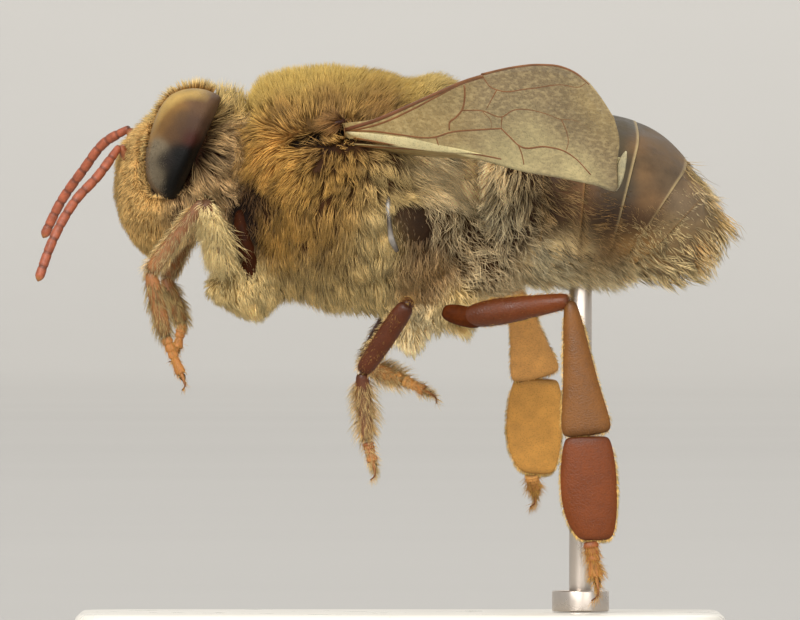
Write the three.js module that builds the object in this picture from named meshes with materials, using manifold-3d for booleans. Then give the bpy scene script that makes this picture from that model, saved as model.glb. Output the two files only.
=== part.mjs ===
// Honey bee drone (male Apis mellifera), life size, held by a plain display stand.
// Millimetres, +Z up, head toward -X, the bee's left side toward -Y. The origin is the
// middle of the stand's foot, on the surface that the stand rests on.
// The solids reach out to the tips of the coat. Neighbours are parted by one thin gap.

import * as THREE from 'three';
import { mergeVertices } from 'three/addons/utils/BufferGeometryUtils.js';
import Module from 'manifold-3d';

// ---- driving dimensions ----------------------------------------------------

const GAP = 0.05;
const OVERSIZE = 40;

const BASE_LENGTH = 17;
const BASE_WIDTH = 12;
const BASE_THICKNESS = 1.5;
const BASE_CORNER = 1.6;
const BASE_BEVEL = 0.2;
const ROD_PLACE = 4.75;
const ROD_RADIUS = 0.3;
const ROD_TOP = 11;
const COLLAR_RADIUS = 0.75;
const COLLAR_HEIGHT = 0.55;

// Head: height, front of the face, back of the head, half width.
const HEAD_SECTIONS = [
  [10.75, -7.15, -5.7, 1.1],
  [11.4, -7.45, -5.2, 1.6],
  [12.1, -7.65, -4.8, 1.85],
  [12.9, -7.65, -4.5, 1.8],
  [13.7, -7.6, -4.4, 1.7],
  [14.4, -7.1, -4.35, 1.6],
  [15.0, -6.35, -4.35, 1.45],
  [15.5, -5.7, -4.45, 1.2],
];
const HEAD_BLUNT = 3.2;
const EYES_MIDDLE = [-5.94, 0, 13.8];
const EYES_HALF_LENGTH = 1.55;
const EYES_HALF_WIDTH = 0.75;
const EYES_REACH = 2.42;
const EYES_LEAN = 24;
const EYES_BLUNT = 3.4;

// Feelers: the short scape rises from the face and the flagellum curves forward and down.
// The right one is held a little higher.
const FEELER_RADIUS = 0.25;
const SCAPE_FOOT = [-6.85, 0.4, 12.9];
const SCAPE_HEAD = [-7.35, 0.7, 13.75];
const RIGHT_SCAPE_LIFT = 0.45;
const FLAGELLUM_ROUTES = {
  left: [
    [-7.4, -0.75, 13.7], [-7.95, -1.1, 12.95], [-8.5, -1.4, 12.35], [-9.1, -1.75, 11.3],
    [-9.5, -1.9, 10.2],
  ],
  right: [
    [-7.15, 0.75, 14.2], [-7.8, 1.1, 13.85], [-8.35, 1.4, 13.15], [-8.95, 1.75, 12.3],
    [-9.42, 1.9, 11.35],
  ],
};

// Thorax: distance along the body, top, underside, half width.
const THORAX_SECTIONS = [
  [-4.45, 15.2, 12.1, 1.7],
  [-4.1, 15.6, 11.4, 2.2],
  [-3.5, 15.85, 10.3, 2.65],
  [-2.6, 15.95, 9.6, 2.95],
  [-1.3, 15.95, 9.35, 3.1],
  [0, 15.75, 9.25, 3.0],
  [1.0, 15.3, 9.8, 2.65],
  [1.7, 14.8, 10.6, 2.1],
  [2.2, 14.2, 11.0, 1.5],
];
const THORAX_BLUNT = 5;
const PRONOTUM_CUT = { along: -3.55, height: 13.5, lean: -12 };
const PROPODEUM_CUT = { along: 0.75, height: 12.5, lean: 10 };
const SCUTELLUM_MIDDLE = [0.85, 0, 14.9];
const SCUTELLUM_HALF_SIZE = [0.98, 1.6, 0.92];

// Abdomen: distance along the body, top, underside, half width.
const ABDOMEN_SECTIONS = [
  [2.1, 13.6, 10.9, 1.1],
  [2.7, 14.2, 10.3, 1.9],
  [3.5, 14.55, 9.95, 2.5],
  [4.6, 14.65, 9.9, 2.75],
  [5.6, 14.55, 9.9, 2.7],
  [6.3, 14.35, 9.95, 2.5],
  [7.0, 14.0, 9.95, 2.2],
  [7.6, 13.55, 10.0, 1.95],
  [8.2, 13.0, 10.2, 1.7],
  [8.7, 12.7, 10.7, 1.4],
  [9.15, 12.4, 11.1, 1.1],
];
const ABDOMEN_BLUNT = 6;
const ABDOMEN_CUTS = [
  { along: 2.85, height: 12.2, lean: 0 },
  { along: 3.75, height: 12.2, lean: 2 },
  { along: 4.8, height: 12.2, lean: 5 },
  { along: 5.86, height: 12.2, lean: 14 },
  { along: 6.88, height: 12.2, lean: 33 },
  { along: 7.75, height: 12.2, lean: 40 },
];

// Wings: root, sweep from the body's length, droop, twist of the blade from upright, outline.
// Outlines are distances from the root along the blade and down across it.
const WING_THICKNESS = 0.5;
const FOREWING = {
  root: [-1.45, 2.45, 14.15],
  sweep: 47,
  droop: 0,
  twist: 25,
  outline: [
    [0, -0.2], [1.15, -0.3], [2.4, -0.6], [4.2, -1.13], [5.9, -1.55], [8.2, -1.82],
    [9.5, -1.62], [10.2, -0.84], [10.3, -0.1], [9.88, 1.0], [9.5, 1.72], [8.2, 1.45],
    [6.0, 1.12], [3.0, 0.56], [0, 0.2],
  ],
};
const HINDWING = {
  root: [-1.2, 2.35, 13.75],
  sweep: 37,
  droop: 2,
  twist: 79,
  outline: [
    [0, -0.2], [2.2, -0.12], [4.6, -0.28], [7.0, -0.3], [8.15, 0.0], [8.6, 0.42],
    [7.7, 1.3], [6.4, 1.75], [4.4, 1.8], [2.4, 1.2], [0.9, 0.6], [0, 0.3],
  ],
};
const TEGULA_MIDDLE = [-1.68, 2.55, 14.1];
const TEGULA_HALF_SIZE = [0.42, 0.34, 0.32];

// Legs: root, hip, knee, ankle, heel and toe, then the half width of each length across
// the leg, seen from the side, and its half thickness.
const LEG_LENGTHS = {
  front: {
    femur: { wide: [0.26, 0.34, 0.27], deep: [0.26, 0.3, 0.25] },
    tibia: { wide: [0.25, 0.28, 0.3], deep: [0.25, 0.26, 0.26] },
    basitarsus: { wide: [0.25, 0.42, 0.3], deep: [0.25, 0.26, 0.25] },
    tarsus: { wide: [0.26, 0.3, 0.32], deep: [0.25, 0.25, 0.25] },
  },
  mid: {
    femur: { wide: [0.28, 0.34, 0.27], deep: [0.26, 0.3, 0.25] },
    tibia: { wide: [0.25, 0.28, 0.3], deep: [0.25, 0.26, 0.26] },
    basitarsus: { wide: [0.3, 0.38, 0.3], deep: [0.25, 0.26, 0.25] },
    tarsus: { wide: [0.26, 0.26, 0.3], deep: [0.25, 0.25, 0.25] },
  },
  hind: {
    femur: { wide: [0.3, 0.42, 0.28], deep: [0.28, 0.34, 0.26] },
    tibia: { wide: [0.25, 0.42, 0.62], deep: [0.25, 0.28, 0.3] },
    basitarsus: { wide: [0.62, 0.74, 0.6], deep: [0.27, 0.3, 0.27] },
    tarsus: { wide: [0.32, 0.28, 0.3], deep: [0.25, 0.25, 0.25] },
  },
};
const LEG_BLUNT = { femur: 3, tibia: 4, basitarsus: 5, tarsus: 4 };
const LEGS = [
  {
    name: 'front_left', kind: 'front',
    coxa: { route: [[-3.5, -0.8, 11.5], [-4.4, -0.95, 9.15]], wide: [0.6, 1.15, 0.95], deep: 0.75 },
    joints: [[-4.6, -1.6, 10.4], [-5.15, -2.85, 12.3], [-6.55, -2.4, 10.45],
      [-6.15, -2.3, 8.75], [-5.6, -2.2, 7.45]],
  },
  {
    name: 'front_right', kind: 'front',
    coxa: { route: [[-3.5, 0.8, 11.5], [-4.4, 0.95, 9.15]], wide: [0.6, 1.15, 0.95], deep: 0.75 },
    joints: [[-4.0, 1.5, 10.4], [-5.1, 2.85, 12.2], [-6.2, 2.5, 10.3],
      [-5.75, 2.4, 9.1], [-5.95, 2.3, 8.1]],
  },
  {
    name: 'mid_left', kind: 'mid',
    coxa: { route: [[-0.1, -0.7, 10.0], [0.45, -1.2, 8.15]], wide: [0.6, 0.75, 0.6], deep: 0.62 },
    joints: [[0.15, -1.9, 9.64], [0.2, -4.0, 9.6], [-1.0, -3.3, 7.8],
      [-0.85, -3.05, 6.0], [-0.62, -2.95, 5.1]],
  },
  {
    name: 'mid_right', kind: 'mid',
    coxa: { route: [[-0.1, 0.7, 10.0], [0.45, 1.2, 8.15]], wide: [0.6, 0.75, 0.6], deep: 0.62 },
    joints: [[-0.2, 1.9, 9.9], [-0.1, 3.9, 9.5], [-0.95, 3.1, 8.0],
      [0.1, 2.2, 7.6], [0.98, 1.7, 7.15]],
  },
  {
    name: 'hind_left', kind: 'hind',
    coxa: { route: [[1.1, -0.75, 10.6], [1.75, -1.5, 8.65]], wide: [0.6, 0.75, 0.5], deep: 0.6 },
    joints: [[1.6, -2.2, 9.25], [4.45, -3.0, 9.7], [4.9, -3.2, 6.15],
      [4.98, -3.1, 3.4], [5.22, -3.0, 1.95]],
  },
  {
    name: 'hind_right', kind: 'hind',
    coxa: { route: [[1.1, 0.75, 10.6], [1.75, 1.5, 8.65]], wide: [0.6, 0.75, 0.5], deep: 0.6 },
    joints: [[1.5, 2.1, 9.3], [3.0, 3.4, 10.2], [3.62, 4.9, 7.65],
      [3.5, 5.6, 5.1], [3.62, 6.2, 4.3]],
  },
];
const LENGTH_NAMES = ['femur', 'tibia', 'basitarsus', 'tarsus'];
const JOINT_OVERLAP = 0.12;

// ---- finishes --------------------------------------------------------------

const FINISHES = {
  coat: { color: 0xb3985a, roughness: 0.9, metalness: 0 },
  face: { color: 0xc4ae79, roughness: 0.9, metalness: 0 },
  eye: { color: 0x3a2822, roughness: 0.35, metalness: 0 },
  antenna: { color: 0x93461f, roughness: 0.5, metalness: 0 },
  abdomen: { color: 0x564331, roughness: 0.6, metalness: 0 },
  leg: { color: 0x9c5426, roughness: 0.45, metalness: 0 },
  wing: { color: 0xc9b98e, roughness: 0.3, metalness: 0 },
  base: { color: 0xe2ded4, roughness: 0.35, metalness: 0 },
  steel: { color: 0xb9bdc2, roughness: 0.3, metalness: 1 },
};

// ---- solids ----------------------------------------------------------------

const wasm = await Module();
wasm.setup();

function toSolid(geometry) {
  const bare = geometry.clone();
  bare.deleteAttribute('normal');
  bare.deleteAttribute('uv');
  const merged = mergeVertices(bare, 1e-5);
  const mesh = new wasm.Mesh({
    numProp: 3,
    vertProperties: new Float32Array(merged.attributes.position.array),
    triVerts: new Uint32Array(merged.index.array),
  });
  return new wasm.Manifold(mesh);
}

function toGeometry(solid) {
  const { vertProperties, triVerts } = solid.getMesh();
  const geometry = new THREE.BufferGeometry();
  geometry.setAttribute('position', new THREE.BufferAttribute(new Float32Array(vertProperties), 3));
  geometry.setIndex(new THREE.BufferAttribute(new Uint32Array(triVerts), 1));
  geometry.computeVertexNormals();
  return geometry;
}

const vector = (place) => new THREE.Vector3(...place);
const radians = (degrees) => THREE.MathUtils.degToRad(degrees);

// Smooth values between the rows of a table, looked up by the rows' first number.
function between(rows) {
  const size = rows[0].length - 1;
  const places = rows.map((row) => row[0]);
  const values = rows.flatMap((row) => row.slice(1));
  const smooth = new THREE.CubicInterpolant(places, values, size, new Array(size).fill(0));
  return (place) => [...smooth.evaluate(place)];
}

// A closed skin over sections. station(share) gives, for a share of the length from 0 to 1,
// the section's middle, the direction of the length, the direction of its depth, its half
// width and its half depth. A higher blunt number makes fuller ends.
function loft(station, { grow, sides, steps, blunt }) {
  const geometry = new THREE.SphereGeometry(1, sides, steps);
  const position = geometry.attributes.position;
  const point = new THREE.Vector3();
  for (let i = 0; i < position.count; i += 1) {
    point.fromBufferAttribute(position, i);
    const share = (1 - THREE.MathUtils.clamp(point.y, -1, 1)) / 2;
    const { middle, along, depth, wide, deep } = station(share);
    const across = new THREE.Vector3().crossVectors(depth, along).normalize();
    const fullness = (1 - Math.abs(2 * share - 1) ** blunt) ** (1 / blunt);
    const ring = Math.hypot(point.x, point.z) || 1;
    const place = middle.clone()
      .addScaledVector(along, grow * (2 * share - 1))
      .addScaledVector(across, (point.x / ring) * (wide + grow) * fullness)
      .addScaledVector(depth, (point.z / ring) * (deep + grow) * fullness);
    position.setXYZ(i, place.x, place.y, place.z);
  }
  return toSolid(geometry);
}

// A rounded length that follows a route. Its depth is measured sideways, along Y.
function limb(grow, { route, wide, deep = wide, blunt = 3, sides = 8, steps = 5 }) {
  const curve = new THREE.CatmullRomCurve3(route.map(vector));
  const widthAt = between(wide.map((value, i) => [i / (wide.length - 1), value]));
  const depthAt = between(deep.map((value, i) => [i / (deep.length - 1), value]));
  const station = (share) => {
    const along = curve.getTangentAt(share);
    const depth = new THREE.Vector3(0, -1, 0);
    depth.addScaledVector(along, -depth.dot(along)).normalize();
    const middle = curve.getPointAt(share);
    return { middle, along, depth, wide: widthAt(share)[0], deep: depthAt(share)[0] };
  };
  return loft(station, { grow, sides, steps, blunt });
}

// The trunk's hulls run along X, with upright sections, from the first table row to the last.
function trunk(grow, sections, blunt, sides, steps) {
  const sectionAt = between(sections);
  const first = sections[0][0];
  const last = sections[sections.length - 1][0];
  const station = (share) => {
    const along = THREE.MathUtils.lerp(first, last, share);
    const [top, bottom, half] = sectionAt(along);
    return {
      middle: new THREE.Vector3(along, 0, (top + bottom) / 2),
      along: new THREE.Vector3(1, 0, 0),
      depth: new THREE.Vector3(0, -1, 0),
      wide: (top - bottom) / 2,
      deep: half,
    };
  };
  return loft(station, { grow, sides, steps, blunt });
}

function ellipsoid(grow, middle, halfSize, sides, steps) {
  const geometry = new THREE.SphereGeometry(1, sides, steps);
  geometry.scale(...halfSize.map((half) => half + grow));
  geometry.translate(...middle);
  return toSolid(geometry);
}

// All that lies beyond a cut, toward the tail, or before it, toward the head. The cut leans
// back at its top by its angle.
function beyond({ along, height, lean }, shift) {
  const box = new THREE.BoxGeometry(OVERSIZE, OVERSIZE, OVERSIZE);
  box.translate(OVERSIZE / 2 + shift, 0, 0);
  box.rotateY(radians(lean));
  box.translate(along, 0, height);
  return toSolid(box);
}

function slice(grow, whole, front, back) {
  let solid = whole;
  if (front) solid = solid.intersect(beyond(front, GAP / 2 - grow));
  if (back) solid = solid.subtract(beyond(back, grow - GAP / 2));
  return solid;
}

// ---- the bee's parts, each a function of how far it is grown -----------------

function headHull(grow) {
  const sectionAt = between(HEAD_SECTIONS);
  const lowest = HEAD_SECTIONS[0][0];
  const highest = HEAD_SECTIONS[HEAD_SECTIONS.length - 1][0];
  const station = (share) => {
    const height = THREE.MathUtils.lerp(lowest, highest, share);
    const [front, back, half] = sectionAt(height);
    return {
      middle: new THREE.Vector3((front + back) / 2, 0, height),
      along: new THREE.Vector3(0, 0, 1),
      depth: new THREE.Vector3(0, -1, 0),
      wide: (back - front) / 2,
      deep: half,
    };
  };
  return loft(station, { grow, sides: 16, steps: 10, blunt: HEAD_BLUNT });
}

// The two eyes are one bulb across the head, parted where they meet on the crown.
function eye(grow, side) {
  const lean = radians(EYES_LEAN);
  const station = (share) => ({
    middle: vector(EYES_MIDDLE).setY(EYES_REACH * (2 * share - 1)),
    along: new THREE.Vector3(0, 1, 0),
    depth: new THREE.Vector3(Math.sin(lean), 0, Math.cos(lean)),
    wide: EYES_HALF_WIDTH,
    deep: EYES_HALF_LENGTH,
  });
  const bulb = loft(station, { grow, sides: 18, steps: 10, blunt: EYES_BLUNT });
  const half = new THREE.BoxGeometry(OVERSIZE, OVERSIZE, OVERSIZE);
  half.translate(0, side * (OVERSIZE / 2 + GAP / 2 - grow), 0);
  return bulb.intersect(toSolid(half));
}

function scape(grow, side) {
  const lift = side > 0 ? RIGHT_SCAPE_LIFT : 0;
  const foot = [SCAPE_FOOT[0], side * SCAPE_FOOT[1], SCAPE_FOOT[2] + lift];
  const head = [SCAPE_HEAD[0] + lift / 2, side * SCAPE_HEAD[1], SCAPE_HEAD[2] + lift];
  return limb(grow, { route: [foot, head], wide: [FEELER_RADIUS, FEELER_RADIUS], blunt: 2.5 });
}

function flagellum(grow, side) {
  return limb(grow, {
    route: side < 0 ? FLAGELLUM_ROUTES.left : FLAGELLUM_ROUTES.right,
    wide: [FEELER_RADIUS, FEELER_RADIUS],
    blunt: 5,
    steps: 10,
  });
}

const neck = (grow) => limb(grow, {
  route: [[-5.0, 0, 13.1], [-4.0, 0, 13.2]],
  wide: [0.95, 0.95],
  blunt: 6,
  sides: 12,
});

const mouthparts = (grow) => limb(grow, {
  route: [[-6.45, 0, 11.3], [-6.15, 0, 10.45]],
  wide: [0.45, 0.3],
  deep: [0.5, 0.32],
});

const thoraxHull = (grow) => trunk(grow, THORAX_SECTIONS, THORAX_BLUNT, 20, 12);
const abdomenHull = (grow) => trunk(grow, ABDOMEN_SECTIONS, ABDOMEN_BLUNT, 18, 15);

function wing(grow, { root, sweep, droop, twist, outline }, side) {
  const shape = new THREE.Shape();
  shape.moveTo(...outline[0]);
  shape.splineThru(outline.slice(1).map((place) => new THREE.Vector2(...place)));
  shape.closePath();
  const blade = new THREE.ExtrudeGeometry(shape, {
    depth: WING_THICKNESS + 2 * grow,
    bevelEnabled: false,
    curveSegments: 2,
  });
  blade.translate(0, 0, -WING_THICKNESS / 2 - grow);
  const level = new THREE.Vector3(Math.cos(radians(sweep)), side * Math.sin(radians(sweep)), 0);
  const inward = new THREE.Vector3(Math.sin(radians(sweep)), -side * Math.cos(radians(sweep)), 0);
  const down = new THREE.Vector3(0, 0, -1);
  const along = level.clone().multiplyScalar(Math.cos(radians(droop)));
  along.addScaledVector(down, Math.sin(radians(droop)));
  const across = down.clone().multiplyScalar(Math.cos(radians(droop)));
  across.addScaledVector(level, -Math.sin(radians(droop)));
  across.multiplyScalar(Math.cos(radians(twist))).addScaledVector(inward, Math.sin(radians(twist)));
  const face = new THREE.Vector3().crossVectors(along, across);
  blade.applyMatrix4(new THREE.Matrix4().makeBasis(along, across, face));
  blade.translate(root[0], side * root[1], root[2]);
  return toSolid(blade);
}

// Each length of a leg runs a little past its far joint, so that the next one fits on it.
function legLength(grow, leg, index) {
  const name = LENGTH_NAMES[index];
  const { wide, deep } = LEG_LENGTHS[leg.kind][name];
  const start = vector(leg.joints[index]);
  const end = vector(leg.joints[index + 1]);
  const past = end.clone().sub(start).setLength(JOINT_OVERLAP);
  return limb(grow, {
    route: [leg.joints[index], end.clone().add(past).toArray()],
    wide,
    deep,
    blunt: LEG_BLUNT[name],
  });
}

// ---- the stand ---------------------------------------------------------------

function standBase() {
  const reachX = BASE_LENGTH / 2 - BASE_CORNER - BASE_BEVEL;
  const reachY = BASE_WIDTH / 2 - BASE_CORNER - BASE_BEVEL;
  const outline = new THREE.Shape();
  outline.absarc(reachX, reachY, BASE_CORNER, 0, Math.PI / 2);
  outline.absarc(-reachX, reachY, BASE_CORNER, Math.PI / 2, Math.PI);
  outline.absarc(-reachX, -reachY, BASE_CORNER, Math.PI, 1.5 * Math.PI);
  outline.absarc(reachX, -reachY, BASE_CORNER, 1.5 * Math.PI, 2 * Math.PI);
  const plate = new THREE.ExtrudeGeometry(outline, {
    depth: BASE_THICKNESS - 2 * BASE_BEVEL,
    bevelThickness: BASE_BEVEL,
    bevelSize: BASE_BEVEL,
    bevelSegments: 1,
    curveSegments: 5,
  });
  plate.translate(0, 0, BASE_BEVEL);
  return toSolid(plate);
}

function standRod(grow) {
  const foot = BASE_THICKNESS + GAP;
  const rod = new THREE.CylinderGeometry(ROD_RADIUS + grow, ROD_RADIUS + grow, ROD_TOP - foot, 16);
  rod.rotateX(Math.PI / 2);
  rod.translate(ROD_PLACE, 0, (ROD_TOP + foot) / 2);
  return toSolid(rod);
}

function standCollar() {
  const foot = BASE_THICKNESS + GAP;
  const inner = ROD_RADIUS + 2 * GAP;
  const profile = [
    [inner, foot], [COLLAR_RADIUS, foot], [COLLAR_RADIUS, foot + COLLAR_HEIGHT * 0.7],
    [COLLAR_RADIUS * 0.8, foot + COLLAR_HEIGHT], [inner, foot + COLLAR_HEIGHT], [inner, foot],
  ];
  const ring = new THREE.LatheGeometry(profile.map((place) => new THREE.Vector2(...place)), 20);
  ring.rotateX(Math.PI / 2);
  ring.translate(ROD_PLACE, 0, 0);
  return toSolid(ring);
}

// ---- every piece, in order: a piece gives way to all the pieces before it -------

const pieces = [];

function addPiece(name, group, finish, anchor, shape) {
  pieces.push({ name, group, finish, anchor, shape });
}

for (const [sideName, side] of [['left', -1], ['right', 1]]) {
  addPiece(`eye_${sideName}`, 'head', 'eye', EYES_MIDDLE, (grow) => eye(grow, side));
  addPiece(`antenna_${sideName}_scape`, 'head', 'antenna', [-7, side * 0.5, 13],
    (grow) => scape(grow, side));
  addPiece(`antenna_${sideName}_flagellum`, 'head', 'antenna', [-7.4, side * 0.75, 13.7],
    (grow) => flagellum(grow, side));
}
addPiece('head', 'head', 'face', [-5.8, 0, 13], headHull);
addPiece('mouthparts', 'head', 'leg', [-6.3, 0, 11], mouthparts);

for (const [sideName, side] of [['left', -1], ['right', 1]]) {
  const middle = [TEGULA_MIDDLE[0], side * TEGULA_MIDDLE[1], TEGULA_MIDDLE[2]];
  addPiece(`tegula_${sideName}`, 'thorax', 'leg', middle,
    (grow) => ellipsoid(grow, middle, TEGULA_HALF_SIZE, 10, 6));
}
addPiece('scutellum', 'thorax', 'coat', SCUTELLUM_MIDDLE,
  (grow) => ellipsoid(grow, SCUTELLUM_MIDDLE, SCUTELLUM_HALF_SIZE, 16, 8));
addPiece('pronotum', 'thorax', 'coat', [-4, 0, 13],
  (grow) => slice(grow, thoraxHull(grow), null, PRONOTUM_CUT));
addPiece('thorax', 'thorax', 'coat', [-1.3, 0, 12.6],
  (grow) => slice(grow, thoraxHull(grow), PRONOTUM_CUT, PROPODEUM_CUT));
addPiece('propodeum', 'thorax', 'coat', [1.5, 0, 12.5],
  (grow) => slice(grow, thoraxHull(grow), PROPODEUM_CUT, null));
addPiece('neck', 'head', 'coat', [-4.5, 0, 13.2], neck);

for (let i = 0; i <= ABDOMEN_CUTS.length; i += 1) {
  const front = ABDOMEN_CUTS[i - 1] ?? null;
  const back = ABDOMEN_CUTS[i] ?? null;
  const start = front ? front.along : ABDOMEN_SECTIONS[0][0];
  addPiece(`abdomen_${i + 1}`, 'abdomen', 'abdomen', [start, 0, 12.2],
    (grow) => slice(grow, abdomenHull(grow), front, back));
}

for (const [sideName, side] of [['left', -1], ['right', 1]]) {
  for (const [wingName, blade] of [['forewing', FOREWING], ['hindwing', HINDWING]]) {
    const root = [blade.root[0], side * blade.root[1], blade.root[2]];
    addPiece(`${wingName}_${sideName}`, 'thorax', 'wing', root, (grow) => wing(grow, blade, side));
  }
}

for (const leg of LEGS) {
  const { route, wide, deep } = leg.coxa;
  addPiece(`${leg.name}_coxa`, leg.name, 'coat', route[0],
    (grow) => limb(grow, { route, wide, deep: [deep, deep], blunt: 2.5, sides: 10 }));
  LENGTH_NAMES.forEach((name, index) => {
    addPiece(`${leg.name}_${name}`, leg.name, 'leg', leg.joints[index],
      (grow) => legLength(grow, leg, index));
  });
}

addPiece('stand_rod', 'stand', 'steel', [ROD_PLACE, 0, BASE_THICKNESS], standRod);
addPiece('stand_collar', 'stand', 'steel', [ROD_PLACE, 0, BASE_THICKNESS], standCollar);
addPiece('stand_base', 'stand', 'base', [0, 0, 0], standBase);

// ---- the scene graph -----------------------------------------------------------

function boxOf(solid) {
  return new THREE.Box3().setFromBufferAttribute(toGeometry(solid).attributes.position);
}

function placeMesh({ name, finish, anchor }, solid) {
  const geometry = toGeometry(solid);
  geometry.translate(...anchor.map((value) => -value));
  const mesh = new THREE.Mesh(geometry, new THREE.MeshStandardMaterial(FINISHES[finish]));
  mesh.name = name;
  mesh.position.set(...anchor);
  return mesh;
}

const model = new THREE.Group();
const groups = {};
const cutters = [];
for (const piece of pieces) {
  let solid = piece.shape(0);
  const box = boxOf(solid);
  for (const cutter of cutters) {
    if (cutter.box.intersectsBox(box)) solid = solid.subtract(cutter.solid);
  }
  const grown = piece.shape(GAP);
  cutters.push({ solid: grown, box: boxOf(grown) });
  groups[piece.group] ??= new THREE.Group();
  groups[piece.group].add(placeMesh(piece, solid));
}
model.add(...Object.values(groups));

export default model;
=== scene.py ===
"""A drone honey bee, still and life size, held by a rod on a plain display base.

Pieces are modelled in millimetres, X to the tail, Z up, the left side at -Y, and each one is
brought down to metres when it is settled. The coat is made of fine tapered hairs, combed over
the skin and the plates by one map of named places, COAT.
"""

import math

import bpy
import numpy as np
from mathutils import Matrix, Vector


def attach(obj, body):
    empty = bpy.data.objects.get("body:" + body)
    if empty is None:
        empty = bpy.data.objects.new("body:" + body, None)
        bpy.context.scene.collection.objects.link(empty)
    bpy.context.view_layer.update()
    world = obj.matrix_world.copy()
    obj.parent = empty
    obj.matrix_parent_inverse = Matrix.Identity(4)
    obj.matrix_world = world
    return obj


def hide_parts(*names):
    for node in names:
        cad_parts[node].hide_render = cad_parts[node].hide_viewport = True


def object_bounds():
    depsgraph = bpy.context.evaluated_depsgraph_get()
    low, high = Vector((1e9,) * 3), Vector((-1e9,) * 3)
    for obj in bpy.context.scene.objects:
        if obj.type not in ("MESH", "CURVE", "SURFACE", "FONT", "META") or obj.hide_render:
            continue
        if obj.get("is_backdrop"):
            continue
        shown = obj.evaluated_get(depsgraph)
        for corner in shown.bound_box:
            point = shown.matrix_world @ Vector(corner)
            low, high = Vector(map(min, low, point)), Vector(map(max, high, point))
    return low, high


MM = 0.001
SIDES = (("left", -1), ("right", 1))

# ---- camera, floor and light ----

VIEW_CENTRE = (0.0, 9.45)
VIEW_WIDTH = 21.05
VIEW_DISTANCE = 600.0
SENSOR = 36.0
FLOOR_HALF_WIDTH = 2500.0
FLOOR_FRONT = -2500.0
FLOOR_BACK = 2000.0
SWEEP_RADIUS = 900.0
SWEEP_HEIGHT = 1500.0
FLOOR_COLOUR = (0.46, 0.45, 0.43)
# Lights: name, where each comes from, its strength, and its spread in degrees.
LAMPS = (
    ("key", (-0.4, -1.0, 0.6), 2.45, 28),
    ("fill", (0.2, -1.0, 0.03), 1.85, 60),
    ("rim", (0.3, 1.0, 0.8), 0.8, 30),
)
LAMP_COLOUR = (1.0, 0.98, 0.95)
SKY_COLOUR = (1.0, 0.985, 0.96, 1.0)
SKY_STRENGTH = 0.66

# ---- head ----

EYE_CENTRE = np.array((-5.58, 0.0, 13.77))
EYE_LEAN = 23.9
EYE_HALF_LENGTH = 1.55
EYE_FRONT = 0.99
EYE_REAR = 0.33
EYE_BROW = 0.3
EYE_REACH = 2.4
EYE_BASE = 1.15
EYE_GAP = 0.015
EYE_SQUARE = 8
EYE_DOME = 2.5
EYE_WALL = 0.12
SCAPE = ((-6.85, 0.4, 12.9), (-7.35, 0.7, 13.75))
RIGHT_SCAPE_LIFT = 0.45
FLAGELLUM = {
    "left": ((-7.38, -0.73, 13.74), (-7.95, -1.1, 12.95), (-8.5, -1.4, 12.35), (-9.1, -1.75, 11.3),
             (-9.5, -1.9, 10.2)),
    "right": ((-7.13, 0.73, 14.24), (-7.8, 1.1, 13.85), (-8.35, 1.4, 13.15), (-8.95, 1.75, 12.3),
              (-9.42, 1.9, 11.35)),
}
FLAGELLUM_RINGS = 11
FLAGELLUM_HALF = 0.128

# ---- abdomen: along the body, top, underside, half width ----

ABDOMEN = (
    (2.1, 13.6, 10.9, 1.1), (2.7, 14.2, 10.3, 1.9), (3.5, 14.55, 9.95, 2.5), (4.6, 14.65, 9.9, 2.75),
    (5.6, 14.6, 9.9, 2.7), (6.3, 14.4, 9.95, 2.5), (7.0, 14.0, 9.98, 2.2), (7.6, 13.4, 10.15, 1.85),
    (8.1, 12.75, 10.55, 1.4), (8.5, 12.25, 11.1, 0.9),
)
ABDOMEN_BLUNT = 6
PLATE_HEIGHT = 12.2
# Edges between the plates: place along, lean in degrees, height of the shoulder, bend above it.
PLATE_EDGES = (
    (2.1, 0, 15, 0), (2.85, 0, 15, 0), (3.75, 2, 15, 0), (4.8, 5, 15, 0), (5.86, 14, 13.7, 0.4),
    (6.88, 33, 13.0, 0.7), (7.75, 42, 12.6, 0.5), (8.5, 0, 15, 0),
)
PLATE_STEPS = 40
PLATE_TUCK = 0.45
PLATE_DROP = 0.11
LIP_SHARES = (1, 0.985, 0.95, 0.9, 0.9)
LIP_DROPS = (0.035, 0.07, 0.1, 0.14, 0.14)

# ---- wings, each in its own plane: u from root to tip, v from leading to trailing edge ----

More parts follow.
